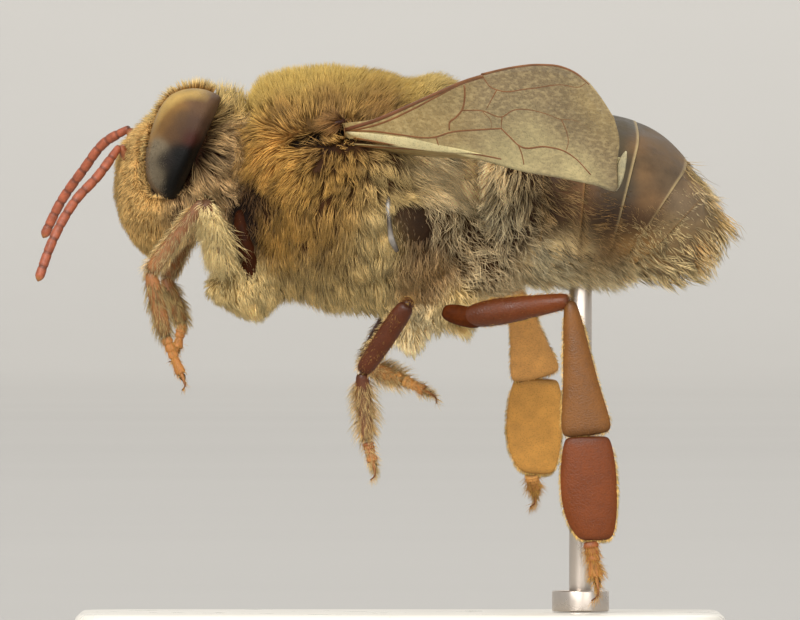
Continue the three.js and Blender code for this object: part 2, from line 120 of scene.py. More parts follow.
FOREWING = {
    "root": (-1.45, 2.45, 14.15), "sweep": 47, "droop": 0, "twist": 25,
    "lead": ((0, -0.2), (1.15, -0.3), (2.4, -0.6), (4.2, -1.13), (5.9, -1.55), (7.1, -1.72),
             (8.3, -1.82), (9.1, -1.78), (9.6, -1.6), (10.0, -1.28), (10.25, -0.84), (10.38, -0.3)),
    "trail": ((0, 0.2), (1.9, 0.42), (3.0, 0.56), (4.5, 0.86), (6.0, 1.15), (7.9, 1.4), (8.8, 1.6),
              (9.5, 1.78), (9.66, 1.5), (9.88, 1.0), (10.22, 0.4), (10.38, -0.3)),
    "veins": (
        (0.056, ((0.0, -0.02), (1.4, -0.3), (2.9, -0.72), (4.2, -1.1), (5.3, -1.4), (5.95, -1.52))),
        (0.034, ((0.1, 0.03), (1.5, -0.2), (2.9, -0.6), (4.1, -1.0), (5.2, -1.34), (5.95, -1.48))),
        (0.034, ((5.9, -1.55), (7.1, -1.71), (8.3, -1.8), (9.1, -1.76), (9.6, -1.58), (9.97, -1.28))),
        (0.036, ((5.18, -1.28), (5.05, -0.95), (4.84, -0.62), (4.45, -0.36), (4.17, -0.22), (4.06, -0.01))),
        (0.034, ((0.35, 0.0), (1.2, 0.02), (2.0, 0.1), (3.43, 0.19), (4.04, 0.06), (5.18, -0.01),
                 (6.04, -0.04))),
        (0.034, ((6.04, -0.04), (6.2, 0.16), (6.44, 0.45), (7.49, 0.51), (8.12, 0.65), (8.48, 0.89),
                 (8.81, 1.3))),
        (0.03, ((3.45, 0.2), (3.42, 0.4), (3.4, 0.6))),
        (0.032, ((6.44, 0.45), (6.46, 0.7), (6.43, 1.0))),
        (0.026, ((5.92, -1.5), (6.06, -1.2), (6.3, -1.1), (7.46, -1.12), (8.87, -1.26), (9.63, -1.23),
                 (9.85, -1.33))),
        (0.026, ((6.28, -1.11), (6.0, -0.85), (5.73, -0.6))),
        (0.026, ((4.81, -0.57), (5.57, -0.54), (6.17, -0.36), (6.69, -0.54), (7.75, -0.48), (8.39, -0.28))),
        (0.022, ((8.39, -0.28), (8.98, -0.22), (9.25, -0.04), (9.67, 0.22))),
        (0.026, ((6.22, -0.36), (6.12, -0.2), (6.04, -0.04))),
        (0.026, ((8.42, -0.26), (8.42, 0.1), (8.36, 0.35), (8.15, 0.64))),
        (0.024, ((5.55, -0.52), (5.74, -0.3), (5.72, -0.12), (5.61, -0.01))),
        (0.036, ((0.3, 0.2), (1.94, 0.4), (3.4, 0.58), (4.6, 0.72), (5.58, 0.86))),
    ),
}
HINDWING = {
    "root": (-1.2, 2.35, 13.75), "sweep": 37, "droop": 2, "twist": 79,
    "lead": ((0, -0.2), (2.2, -0.12), (4.6, -0.28), (6.9, -0.3), (7.9, 0.0), (8.35, 0.42)),
    "trail": ((0, 0.3), (0.9, 0.6), (2.4, 1.2), (4.4, 1.8), (6.3, 1.75), (7.5, 1.3), (8.15, 0.8),
              (8.35, 0.42)),
    "veins": (
        (0.05, ((0.1, -0.05), (1.2, -0.06), (2.4, -0.02), (3.6, 0.06), (4.5, 0.02))),
        (0.028, ((4.5, 0.02), (5.6, -0.14), (6.9, -0.2))),
        (0.024, ((2.6, 0.0), (3.4, 0.45), (4.6, 0.7), (6.2, 0.8), (7.4, 0.7))),
        (0.024, ((0.4, 0.1), (1.6, 0.45), (2.8, 0.9), (4.2, 1.35), (5.4, 1.5))),
    ),
}
WING_THICKNESS = 0.03
STOUT_VEIN = 0.05
WING_FOLD = ((0.1, 0.06), (0.9, 0.15), (1.8, 0.28), (2.7, 0.4), (3.7, 0.56), (4.9, 0.72))
HIND_TIP = ((9.36, 1.8), (9.7, 1.42), (10.0, 1.05), (10.3, 0.7))
SIDE_RIDGE = ((-0.3, 2.8, 12.4), (-0.3, 2.92, 12.05), (-0.27, 2.95, 11.65), (-0.22, 2.9, 11.3),
              (-0.08, 2.78, 11.0))

# ---- legs: hip, knee, ankle, heel and toe ----

LEGS = {
    "front_left": ((-4.6, -1.6, 10.4), (-5.15, -2.85, 12.3), (-6.55, -2.4, 10.45),
                   (-6.15, -2.3, 8.75), (-5.6, -2.2, 7.45)),
    "front_right": ((-4.0, 1.5, 10.4), (-5.1, 2.85, 12.2), (-6.2, 2.5, 10.3),
                    (-5.75, 2.4, 9.1), (-5.95, 2.3, 8.1)),
    "mid_left": ((0.16, -1.9, 9.64), (0.2, -4.0, 9.6), (-1.0, -3.3, 7.8),
                 (-0.85, -3.05, 6.0), (-0.62, -2.95, 5.1)),
    "mid_right": ((-0.2, 1.9, 9.9), (-0.1, 3.9, 9.5), (-0.95, 3.1, 8.0),
                  (0.1, 2.2, 7.6), (0.98, 1.7, 7.15)),
    "hind_left": ((1.6, -2.2, 9.25), (4.45, -3.0, 9.7), (4.9, -3.2, 6.15),
                  (4.98, -3.1, 3.4), (5.22, -3.0, 1.95)),
    "hind_right": ((1.5, 2.1, 9.3), (3.0, 3.4, 10.2), (3.62, 4.9, 7.65),
                   (3.5, 5.6, 5.1), (3.62, 6.2, 4.3)),
}
SEGMENTS = ("femur", "tibia", "basitarsus", "tarsus")
TOE_JOINTS = (
    (0.0, 0.7), (0.04, 0.85), (0.16, 1.05), (0.19, 0.74), (0.22, 0.8), (0.35, 1.0), (0.38, 0.7),
    (0.41, 0.76), (0.53, 0.94), (0.56, 0.62), (0.62, 0.66), (0.85, 0.9), (0.97, 0.95), (1.0, 0.6),
)
# Rings of a segment: share of its length, half width, half depth, and any shift across it.
SEGMENT_RINGS = {
    "front_femur": ((0, .14, .14), (.06, .24, .2), (.3, .34, .28), (.6, .3, .26), (.88, .22, .2),
                    (.97, .22, .19), (1, .14, .13)),
    "front_tibia": ((0, .12, .12), (.05, .17, .16), (.3, .18, .17), (.7, .2, .18), (.94, .21, .2),
                    (1, .14, .14)),
    "front_basitarsus": ((0, .12, .12), (.05, .18, .16), (.4, .22, .17), (.9, .2, .16), (1, .13, .12)),
    "mid_femur": ((0, .12, .12), (.06, .17, .17), (.35, .19, .19), (.65, .19, .19), (.9, .18, .18),
                  (1, .12, .12)),
    "mid_tibia": ((0, .16, .14), (.05, .25, .2), (.25, .29, .22), (.7, .27, .2), (.93, .24, .2),
                  (1, .16, .14)),
    "mid_basitarsus": ((0, .12, .11), (.05, .19, .15), (.35, .21, .16), (.85, .18, .15), (1, .12, .11)),
    "hind_femur": ((0, .15, .15), (.04, .24, .22), (.2, .38, .3), (.45, .37, .3), (.78, .27, .23),
                   (.96, .23, .2), (1, .14, .13)),
    "hind_tibia": ((0, .12, .12), (.05, .2, .17), (.24, .31, .2), (.4, .38, .2), (.64, .5, .2),
                   (.84, .65, .18), (.96, .7, .17), (1, .56, .12)),
    "hind_basitarsus": ((0, .52, .12), (.03, .64, .17), (.25, .76, .2), (.55, .79, .2),
                        (.8, .7, .18, .04), (.95, .52, .15, .12), (1, .36, .1, .15)),
}
TOE_WIDTH = {"front": (0.16, 0.13), "mid": (0.17, 0.14), "hind": (0.22, 0.16)}
CLAW_SIZE = {"front": 0.34, "mid": 0.4, "hind": 0.5}

# ---- stand ----

BASE_SIZE = (17.0, 12.0, 1.5)
BASE_CORNER = 1.6
ROD_PLACE = 4.75
ROD_RADIUS = 0.3
ROD_TOP = 10.9
COLLAR_RADIUS = 0.75
COLLAR_HEIGHT = 0.55

# ---- dyes: the colours of hair and shell, as 8-bit display values ----

DYES = {
    "plush root": (160, 126, 60), "plush": (222, 190, 104), "straw": (232, 206, 136),
    "streak root": (84, 50, 26), "streak": (182, 136, 76), "golden root": (164, 112, 48),
    "golden": (226, 178, 92), "flank root": (84, 50, 22), "flank": (214, 170, 92),
    "flank pale": (236, 206, 138), "cream root": (204, 172, 108), "cream": (250, 226, 164),
    "face root": (196, 152, 86), "face": (236, 200, 130), "nape root": (66, 34, 16),
    "nape": (234, 196, 138), "ring root": (52, 32, 14), "ring": (206, 170, 114),
    "belly root": (226, 198, 144), "belly": (255, 240, 196), "bronze root": (84, 52, 24),
    "bronze": (178, 134, 76), "tail root": (206, 170, 104), "tail": (250, 226, 166),
    # "gap" is painted shade: the near-black of the recesses behind the head, at the wing roots and in the
    # waist.
    "gap": (40, 22, 10), "gap hair": (104, 72, 42), "curl": (252, 230, 182), "dusk": (112, 94, 72),
    "olive": (66, 57, 41), "olive dark": (52, 34, 16), "rim": (196, 172, 124),
    "orange band": (112, 84, 54), "mauve": (95, 76, 55), "mauve grey": (82, 70, 54),
    # The eye dyes are partly the eye's own colour, partly painted reflection.
    "umber": (50, 30, 12), "honey": (156, 116, 66), "eye fawn": (92, 68, 48), "eye mid": (64, 44, 28),
    "eye grey": (112, 100, 80), "eye red": (56, 22, 16), "eye black": (3, 2, 1),
    "eye dusk": (24, 18, 15), "eye amber": (110, 70, 28), "eye gold": (120, 88, 46),
    "eye mauve": (68, 48, 36), "eye pile": (140, 128, 104), "membrane": (152, 130, 86),
    "membrane pale": (204, 190, 138), "membrane tan": (156, 134, 88), "membrane grey": (127, 109, 79),
    "vein": (122, 78, 42), "vein dark": (106, 62, 40), "chestnut": (76, 34, 9), "russet": (132, 72, 38),
    "amber": (172, 114, 60), "tan leg": (146, 96, 54), "mauve leg": (116, 80, 54),
    # "far amber" and "far heel" are paler copies of the leg dyes, painted light for the far legs.
    "far amber": (206, 150, 82), "bare hip": (52, 24, 9), "dark leg": (74, 32, 14),
    "glass": (196, 186, 176), "crown gold": (180, 148, 84), "curl root": (120, 88, 48),
    "bare plate": (112, 74, 52), "ridge": (70, 60, 50), "hind shin": (110, 68, 24),
    "hind heel": (104, 48, 8), "board": (226, 222, 212), "far heel": (194, 140, 66),
    "feeler": (150, 78, 50), "fold cream": (206, 194, 150), "flap": (178, 168, 134),
    # "gleam" is a painted highlight on the glassy ridge.
    "painted_gleam": (138, 132, 124), "dun": (130, 106, 72), "plate brown": (92, 62, 42),
}

# ---- the coat ----
# Each named place: along, height, spread, length, lift, lie, fullness, curl, locks, root, tip.
# Lengths and places are in millimetres. Lie is the way the hair points, seen from the left:
# 0 is to the tail, 90 up, 180 to the head, -90 down. Locks says how far hairs gather to points.

COAT = (
    ("face low", -7.1, 11.9, 0.5, 0.28, 56, -95, 1.0, 0.1, 0.1, "face root", "face"),
    ("face", -7.3, 12.9, 0.5, 0.28, 58, -100, 1.0, 0.1, 0.1, "face root", "face"),
    ("brow", -7.0, 14.0, 0.4, 0.32, 50, -150, 1.0, 0.1, 0.1, "golden root", "face"),
    ("crown", -6.0, 15.1, 0.5, 0.4, 75, 110, 0.8, 0.1, 0.1, "face root", "straw"),
    ("chin", -6.6, 11.1, 0.4, 0.35, 35, -80, 1.0, 0.1, 0.3, "face root", "face"),
    ("cheek", -5.75, 11.95, 0.3, 0.5, 26, -78, 0.95, 0.2, 0.25, "streak root", "nape"),
    ("throat", -5.3, 11.2, 0.35, 0.6, 30, -70, 0.9, 0.3, 0.3, "nape root", "nape"),
    ("temple low", -5.2, 12.3, 0.25, 0.85, 24, -66, 1.0, 0.25, 0.7, "nape root", "nape"),
    ("temple", -4.85, 13.0, 0.35, 1.05, 25, -46, 1.0, 0.25, 0.75, "nape root", "nape"),
    ("temple top", -4.66, 13.8, 0.3, 1.0, 26, -30, 1.0, 0.25, 0.75, "nape root", "nape"),
    ("nape top", -4.45, 14.85, 0.28, 1.1, 48, 80, 1.0, 0.3, 0.5, "flank root", "straw"),
    # Painted shade: the next three rows give dark "gap" roots and skin, the shade of the recess between head
    # and thorax.
    ("nape shadow", -3.98, 14.05, 0.18, 0.5, 30, -60, 0.5, 0.4, 0.4, "gap", "streak"),
    ("neck", -3.98, 12.5, 0.36, 0.35, 35, -60, 0.1, 0.9, 0.1, "gap", "gap hair"),
    ("neck low", -4.05, 11.6, 0.3, 0.3, 35, -70, 0.08, 0.9, 0.1, "gap", "gap hair"),
    ("collar top", -3.6, 15.1, 0.5, 0.45, 60, 120, 1.0, 0.05, 0.05, "plush root", "plush"),
    ("back front", -2.4, 15.6, 0.6, 0.4, 62, 100, 1.0, 0.03, 0.04, "plush root", "plush"),
    ("back", -1.0, 15.7, 0.6, 0.4, 60, 60, 1.0, 0.03, 0.04, "plush root", "plush"),
    ("back rear", 0.2, 15.5, 0.5, 0.45, 52, 30, 1.0, 0.05, 0.06, "plush root", "plush"),
    ("scutellum", 1.1, 15.2, 0.5, 0.55, 42, 5, 1.0, 0.05, 0.15, "plush root", "straw"),
    ("shoulder streak", -3.0, 14.5, 0.32, 0.61, 30, 105, 1.0, 0.1, 0.3, "streak root", "streak"),
    ("wing streak", -1.9, 14.75, 0.32, 0.61, 30, 85, 1.0, 0.1, 0.3, "streak root", "streak"),
    ("rear streak", -0.7, 14.8, 0.4, 0.57, 30, 60, 1.0, 0.1, 0.3, "streak root", "streak"),
    ("shoulder", -3.4, 13.8, 0.4, 0.61, 26, -140, 1.0, 0.1, 0.25, "golden root", "golden"),
    ("collar lobe", -3.3, 13.2, 0.35, 0.57, 26, -115, 1.0, 0.1, 0.3, "golden root", "golden"),
    # Painted shade: dark "gap" roots for the shade in the hollow at the wing root.
    ("wing hollow shade", -2.0, 13.75, 0.2, 0.35, 28, -100, 0.8, 0.3, 0.3, "gap", "streak"),
    ("under wing front", -2.2, 13.2, 0.35, 0.65, 34, -120, 0.9, 0.35, 0.6, "flank root", "golden"),
    ("under wing", -1.4, 13.0, 0.4, 0.7, 40, -85, 0.85, 0.45, 0.65, "flank root", "flank"),
    ("under wing rear", -0.5, 12.95, 0.35, 0.8, 34, -45, 0.85, 0.35, 0.6, "flank root", "flank pale"),
    ("flank front", -3.0, 11.7, 0.45, 0.7, 20, -105, 1.0, 0.15, 0.35, "flank root", "golden"),
    ("flank", -1.8, 11.6, 0.5, 0.8, 22, -92, 0.9, 0.2, 0.5, "flank root", "flank"),
    ("flank low", -2.1, 10.3, 0.6, 0.7, 24, -88, 1.0, 0.15, 0.5, "streak root", "flank pale"),
    ("flank rear", -0.75, 11.4, 0.45, 0.66, 24, -84, 1.0, 0.12, 0.35, "cream root", "cream"),
    ("keel", -1.2, 9.4, 0.6, 0.6, 40, -80, 1.0, 0.2, 0.5, "cream root", "cream"),
    ("side plate", 0.25, 11.65, 0.26, 0.15, 25, -80, 0.0, 0.0, 0.0, "plate brown", "dusk"),
    ("side seam", -0.1, 12.0, 0.14, 0.3, 25, -80, 0.15, 0.2, 0.2, "bare plate", "dusk"),
    ("side plate low", 0.5, 10.5, 0.35, 0.8, 24, -75, 0.95, 0.8, 0.4, "flank root", "nape"),
    ("loin", 1.2, 12.0, 0.25, 0.6, 30, -85, 0.3, 1.2, 0.5, "curl root", "curl"),
    ("loin top", 0.95, 13.3, 0.36, 1.0, 17, -24, 1.0, 0.2, 0.4, "belly root", "curl"),
    ("wing shade curls", 1.8, 13.1, 0.36, 1.1, 24, -44, 1.0, 0.45, 0.6, "belly root", "curl"),
    ("waist", 2.1, 11.5, 0.34, 0.75, 36, -60, 0.18, 1.5, 0.5, "curl root", "curl"),
    ("waist low", 2.2, 10.4, 0.35, 0.75, 32, -35, 0.26, 1.4, 0.4, "curl root", "curl"),
    ("first ring top", 2.7, 13.3, 0.4, 1.0, 22, -50, 1.0, 0.3, 0.6, "belly root", "curl"),
    ("first ring", 2.9, 12.3, 0.34, 1.05, 32, -50, 0.65, 0.8, 0.8, "curl root", "belly"),
    ("first ring low", 2.7, 11.1, 0.34, 0.8, 28, -30, 0.2, 1.0, 0.6, "gap hair", "curl"),
    ("second ring top", 3.6, 13.6, 0.4, 0.45, 12, -25, 0.8, 0.1, 0.2, "ring root", "ring"),
    ("second ring", 3.9, 12.2, 0.45, 0.6, 16, -32, 0.95, 0.2, 0.55, "ring root", "ring"),
    ("second ring low", 3.9, 10.9, 0.4, 0.65, 20, -42, 0.95, 0.2, 0.4, "ring root", "belly"),
    ("third ring", 4.7, 12.4, 0.4, 0.36, 13, -30, 1.0, 0.1, 0.35, "bronze root", "ring"),
    ("third ring low", 4.7, 11.2, 0.4, 0.5, 15, -34, 0.95, 0.15, 0.35, "ring root", "ring"),
    ("belly front", 3.6, 9.9, 0.4, 0.6, 34, -55, 1.0, 0.25, 0.6, "belly root", "belly"),
    ("belly", 4.8, 10.0, 0.45, 0.8, 40, -52, 1.0, 0.35, 0.7, "belly root", "belly"),
    ("belly rear", 6.0, 10.1, 0.45, 0.85, 40, -52, 1.0, 0.35, 0.7, "belly root", "belly"),
    ("fourth ring bare", 5.6, 13.6, 0.7, 0.15, 10, -15, 0.0, 0.0, 0.0, "olive dark", "olive dark"),
    ("fourth ring", 5.4, 12.1, 0.34, 0.3, 12, -24, 0.95, 0.1, 0.15, "bronze root", "bronze"),
    ("fourth ring low", 5.6, 11.3, 0.38, 0.36, 13, -30, 1.0, 0.1, 0.25, "bronze root", "bronze"),
    ("fifth ring bare", 6.8, 13.4, 0.45, 0.12, 10, -30, 0.0, 0.0, 0.0, "mauve", "mauve"),
    ("fifth ring", 6.5, 12.15, 0.28, 0.25, 11, -42, 1.0, 0.05, 0.1, "bronze root", "ring"),
    ("fifth ring low", 6.1, 11.4, 0.32, 0.3, 12, -42, 1.0, 0.05, 0.15, "bronze root", "tail"),
    ("fifth ring foot", 6.2, 10.7, 0.3, 0.5, 22, -50, 1.0, 0.2, 0.45, "bronze root", "tail"),
    ("sixth ring top", 7.9, 13.1, 0.25, 0.95, 19, -30, 0.8, 0.25, 0.25, "tail root", "tail"),
    ("sixth ring", 7.6, 12.25, 0.32, 0.22, 12, -36, 0.25, 0.2, 0.1, "dun", "curl"),
    ("sixth ring low", 7.1, 11.3, 0.32, 0.34, 15, -40, 1.0, 0.1, 0.3, "dun", "tail"),
    ("tail tip", 8.5, 12.2, 0.28, 1.15, 26, -20, 0.8, 0.6, 0.3, "tail root", "ring"),
    ("tail notch", 8.25, 11.45, 0.2, 0.5, 18, -40, 0.8, 0.2, 0.3, "dun", "tail"),
    ("tail low", 8.1, 10.95, 0.3, 0.75, 26, -46, 1.0, 0.2, 0.45, "golden root", "tail"),
    ("tail foot", 7.3, 10.4, 0.35, 0.7, 28, -52, 1.0, 0.25, 0.45, "belly root", "tail"),
    ("fore coxa", -4.4, 10.0, 0.5, 0.36, 36, -75, 1.0, 0.1, 0.3, "cream root", "cream"),
    ("fore coxa foot", -4.1, 9.4, 0.3, 0.8, 36, -74, 1.0, 0.15, 0.85, "cream root", "cream"),
    ("mid coxa", 0.3, 8.7, 0.5, 0.5, 40, -80, 1.0, 0.25, 0.6, "belly root", "belly"),
    ("hind coxa", 1.7, 9.3, 0.4, 0.6, 32, -65, 0.9, 0.4, 0.5, "cream root", "cream"),
)
COAT_REST = 0.05
COAT_FILL = 0.8
WING_SLIT = ((-2.8, 13.78), (-1.4, 14.12))
WING_SLIT_HALF = 0.17
WING_SLIT_DEPTH = 0.5
WING_SLIT_BARING = 1.3
HEAD_REAR = -4.2
FACE_REAR = -6.1
FACE_FOOT = 11.6
BACK_HEIGHT = 14.75
KEEL_HEIGHT = 9.3
FLANK_FROM = 0.9
RING_HAIRS = (3200, 6500, 6500, 4500, 4500, 5200, 2400)
CURLY_RINGS = (0, 6)
RUFFLED_RINGS = (0, 1, 2, 6)

# ---- one hair: its turns in degrees, its shares of length, and its patch of the bake map ----

TOUSLE = 18
RUFFLE = 12
LOCK_RUFFLE = 0.8
STRAY_SHARE = 0.07
STRAY_LIFT = (1.5, 0.12, 1.4)
BOW = 0.55
CURL_WAVE = 0.28
CURL_RISE = 0.16
CURL_TURN = 5
ROOT_SINK = 0.03
TAPER = 0.65
LOCK_POWER = 1.4
FADE_POWER = 1.05
SHADE_LIMITS = (0.4, 1.65)
PATCH = 0.003

# ---- shell tints: along, height, spread, dye ----

SHELL_TINTS = (
    # The "gap" tint low on the first ring is painted shade of the waist.
    (2.6, 12.2, 0.5, "gap"), (3.8, 12.4, 0.5, "umber"), (4.7, 12.7, 0.42, "gap hair"),
    (3.6, 13.8, 0.5, "umber"), (5.5, 13.6, 0.5, "olive"), (5.7, 12.8, 0.35, "olive"),
    (5.5, 12.0, 0.3, "olive dark"), (5.6, 11.2, 0.4, "umber"), (6.25, 13.7, 0.18, "orange band"),
    (6.4, 13.0, 0.18, "orange band"), (7.0, 13.6, 0.3, "mauve"), (6.9, 13.0, 0.3, "mauve"),
    (7.35, 13.0, 0.25, "mauve grey"), (6.5, 12.3, 0.25, "orange band"), (6.2, 11.8, 0.3, "umber"),
    (6.0, 10.9, 0.35, "bronze"), (7.9, 13.1, 0.3, "honey"), (7.6, 12.3, 0.32, "dusk"),
    (7.2, 11.4, 0.3, "dun"), (8.4, 12.2, 0.4, "dun"), (7.6, 10.7, 0.4, "dun"),
    (4.6, 10.3, 0.5, "belly root"),
)
# The eye's patches: partly its own dark colour, partly painted reflection: the pale tan and mauve top, the
# reddish spot and the grey low front.
EYE_TINTS_AND_REFLECTIONS = (
    (-5.15, 14.95, 0.25, "eye fawn"), (-6.2, 14.75, 0.3, "eye gold"),
    (-5.85, 14.3, 0.22, "eye mid"), (-5.3, 14.3, 0.2, "eye mauve"), (-5.45, 13.98, 0.13, "eye red"),
    (-5.64, 13.42, 0.19, "eye black"), (-5.85, 12.9, 0.19, "eye black"),
    (-5.3, 13.6, 0.12, "eye black"), (-6.52, 13.6, 0.18, "eye grey"),
    (-6.5, 13.05, 0.17, "eye grey"), (-6.18, 13.35, 0.15, "eye dusk"),
    (-6.65, 14.2, 0.15, "eye gold"),
)


# ---- small tools ----


def dye(name):
    """A named dye as linear colour."""
    shade = np.array(DYES[name]) / 255
    return np.where(shade <= 0.04045, shade / 12.92, ((shade + 0.055) / 1.055) ** 2.4)


def unit(vectors):
    """Vectors brought to length one."""
    return vectors / np.maximum(np.linalg.norm(vectors, axis=-1, keepdims=True), 1e-9)


def between(rows, places):
    """Rows of (place, values...) read smoothly at any places."""
    table = np.array(rows, dtype=float)
    knots = table[:, 0]
    values = table[:, 1:]
    slopes = np.gradient(values, knots, axis=0)
    places = np.clip(np.asarray(places, dtype=float), knots[0], knots[-1])
    low = np.clip(np.searchsorted(knots, places) - 1, 0, len(knots) - 2)
    span = (knots[low + 1] - knots[low])[..., None]
    share = (places - knots[low])[..., None] / span
    near = (1 + 2 * share) * (1 - share) ** 2 * values[low] + share * (1 - share) ** 2 * span * slopes[low]
    far = share ** 2 * (3 - 2 * share) * values[low + 1] + share ** 2 * (share - 1) * span * slopes[low + 1]
    return near + far


def along(points, shares):
    """Places along a smooth line through points, by share of its length."""
    points = np.array(points, dtype=float)
    lengths = np.concatenate([[0], np.cumsum(np.linalg.norm(np.diff(points, axis=0), axis=1))])
    return between(np.column_stack([lengths / lengths[-1], points]), shares)


def set_down():
    """Nothing is left selected, so that the next tool touches only its own piece."""
    bpy.ops.object.select_all(action="DESELECT")


def take_up(piece):
    """One piece alone is selected and ready for the next tool."""
    set_down()
    piece.select_set(True)
    bpy.context.view_layer.objects.active = piece


def named(name):
    """The piece just added, under its own name."""
    piece = bpy.context.view_layer.objects.active
    piece.name = name
    piece.data.name = name
    return piece


def corners(piece):
    """The piece's vertices as rows of x, y, z."""
    flat = np.empty(len(piece.data.vertices) * 3, dtype=np.float32)
    piece.data.vertices.foreach_get("co", flat)
    return flat.reshape(-1, 3).astype(float)


def reshape(piece, points):
    """Moves the piece's vertices to new places."""
    piece.data.vertices.foreach_set("co", points.astype(np.float32).ravel())
    piece.data.update()


def facing(piece):
    """The smooth normal at each vertex."""
    flat = np.empty(len(piece.data.vertices) * 3, dtype=np.float32)
    piece.data.vertex_normals.foreach_get("vector", flat)
    return flat.reshape(-1, 3).astype(float)


def apply(piece, kind, **settings):
    """Adds one modifier with its settings and applies it."""
    take_up(piece)
    modifier = piece.modifiers.new(kind.title(), kind)
    for setting, value in settings.items():
        setattr(modifier, setting, value)
    bpy.ops.object.modifier_apply(modifier=modifier.name)


def weld(piece, distance=1e-4, outward=False):
    """Merges doubled corners, and turns every face outwards where asked."""
    take_up(piece)
    bpy.ops.object.mode_set(mode="EDIT")
    bpy.ops.mesh.select_all(action="SELECT")
    bpy.ops.mesh.remove_doubles(threshold=distance)
    if outward:
        bpy.ops.mesh.normals_make_consistent(inside=False)
    bpy.ops.object.mode_set(mode="OBJECT")


def smooth(piece):
    """Shades the piece as one rounded surface."""
    take_up(piece)
    bpy.ops.object.shade_smooth()


def join(name, parts):
    """Several parts become one piece."""
    set_down()
    for part in parts:
        part.select_set(True)
    bpy.context.view_layer.objects.active = parts[0]
    bpy.ops.object.join()
    return named(name)


def paint(piece, colours):
    """Writes a colour for each vertex of a piece."""
    add_tint(piece.data, colours)


def mark_shares(piece, values):
    """Notes on each vertex how far along its piece it lies."""
    layer = piece.data.attributes.new("share", "FLOAT", "POINT")
    layer.data.foreach_set("value", values.astype(np.float32))


def shares(piece):
    """How far along its piece each vertex lies."""
    values = np.empty(len(piece.data.vertices), dtype=np.float32)
    piece.data.attributes["share"].data.foreach_get("value", values)
    return values.astype(float)


def add_tint(mesh, colours):
    """Writes a colour for each vertex, which the finishes read as the tint."""
    rgba = np.ones((len(mesh.vertices), 4), dtype=np.float32)
    rgba[:, :3] = colours
    layer = mesh.color_attributes.new(name="tint", type="FLOAT_COLOR", domain="POINT")
    layer.data.foreach_set("color", rgba.ravel())


def settle(piece, finish, slot, *nodes):
    """Brings a finished piece down to metres, gives it its finish and lets it ride on the body."""
    piece.data.transform(Matrix.Scale(MM, 4))
    piece.data.update()
    piece.data.materials.clear()
    piece.data.materials.append(finish)
    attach(piece, "root")
    if nodes:
        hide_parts(*nodes)
    return piece


def nearness(points, rows):
    """How far each place of (along, height, spread) counts at each point, seen from the side."""
    table = np.array(rows)
    apart = (points[:, :1] - table[:, 0]) ** 2 + (points[:, 2:3] - table[:, 1]) ** 2
    weight = -apart / (2 * table[:, 2] ** 2)
    weight = np.exp(weight - weight.max(axis=1, keepdims=True))
    return weight / weight.sum(axis=1, keepdims=True)


def blend_dyes(points, tints):
    """Colours from a list of dyed places, by nearness in the side view."""
    return nearness(points, [row[:3] for row in tints]) @ np.array([dye(row[3]) for row in tints])


def coat_at(points):
    """The coat at each point: the named places blended by nearness in the side view."""
    weight = nearness(points, [row[1:4] for row in COAT])
    length, lift, _, fullness, curl, locks = (weight @ np.array([row[4:10] for row in COAT])).T
    turn = np.radians([row[6] for row in COAT])
    lie = weight @ np.column_stack([np.cos(turn), np.zeros(len(turn)), np.sin(turn)])
    return {
        "length": length, "lift": np.radians(lift), "lie": unit(lie),
        "fullness": fullness, "curl": curl, "locks": locks,
        "root": weight @ np.array([dye(row[10]) for row in COAT]),
        "tip": weight @ np.array([dye(row[11]) for row in COAT]),
    }


def slit_share(points):
    """How far a point lies in the dark slit under the root of each forewing, from none to one."""
    start, end = (np.array(place) for place in WING_SLIT)
    run = end - start
    spot = points[:, [0, 2]] - start
    share = np.clip(spot @ run / (run @ run), 0, 1)
    away = np.linalg.norm(spot - share[:, None] * run, axis=1)
    return np.exp(-(away / WING_SLIT_HALF) ** 2) * (np.abs(points[:, 1]) > 1.0)


def coat_depth(points):
    """How far the skin lies inside the outline of the coat."""
    coat = coat_at(points)
    return COAT_REST + COAT_FILL * coat["fullness"] * coat["length"] * np.sin(coat["lift"])


# ---- finishes ----


def node(tree, kind, **inputs):
    """One shader node with its plain inputs set."""
    made = tree.nodes.new(kind)
    for name, value in inputs.items():
        made.inputs[name.replace("_", " ")].default_value = value
    return made


def mottle_group():
    """Uneven growth of colour and surface, used by every finish."""
    group = bpy.data.node_groups.new("mottle", "ShaderNodeTree")
    for name, way, kind in (("Tint", "INPUT", "Color"), ("Grain", "INPUT", "Float"),
                            ("Strength", "INPUT", "Float"), ("Tint", "OUTPUT", "Color"),
                            ("Relief", "OUTPUT", "Float")):
        group.interface.new_socket(name=name, in_out=way, socket_type=f"NodeSocket{kind}")
    source = group.nodes.new("NodeGroupInput")
    result = group.nodes.new("NodeGroupOutput")
    place = group.nodes.new("ShaderNodeTexCoord")
    noise = node(group, "ShaderNodeTexNoise", Detail=4.0, Roughness=0.6)
    span = node(group, "ShaderNodeMapRange", From_Min=0.3, From_Max=0.7, To_Min=-1.0, To_Max=1.0)
    power = group.nodes.new("ShaderNodeMath")
    power.operation = "MULTIPLY_ADD"
    power.inputs[2].default_value = 1.0
    scale = group.nodes.new("ShaderNodeVectorMath")
    scale.operation = "SCALE"
    link = group.links.new
    link(place.outputs["Object"], noise.inputs["Vector"])
    link(source.outputs["Grain"], noise.inputs["Scale"])
    link(noise.outputs["Fac"], span.inputs["Value"])
    link(span.outputs["Result"], power.inputs[0])
    link(source.outputs["Strength"], power.inputs[1])
    link(source.outputs["Tint"], scale.inputs[0])
    link(power.outputs[0], scale.inputs["Scale"])
    link(scale.outputs[0], result.inputs["Tint"])
    link(noise.outputs["Fac"], result.inputs["Relief"])
    return group


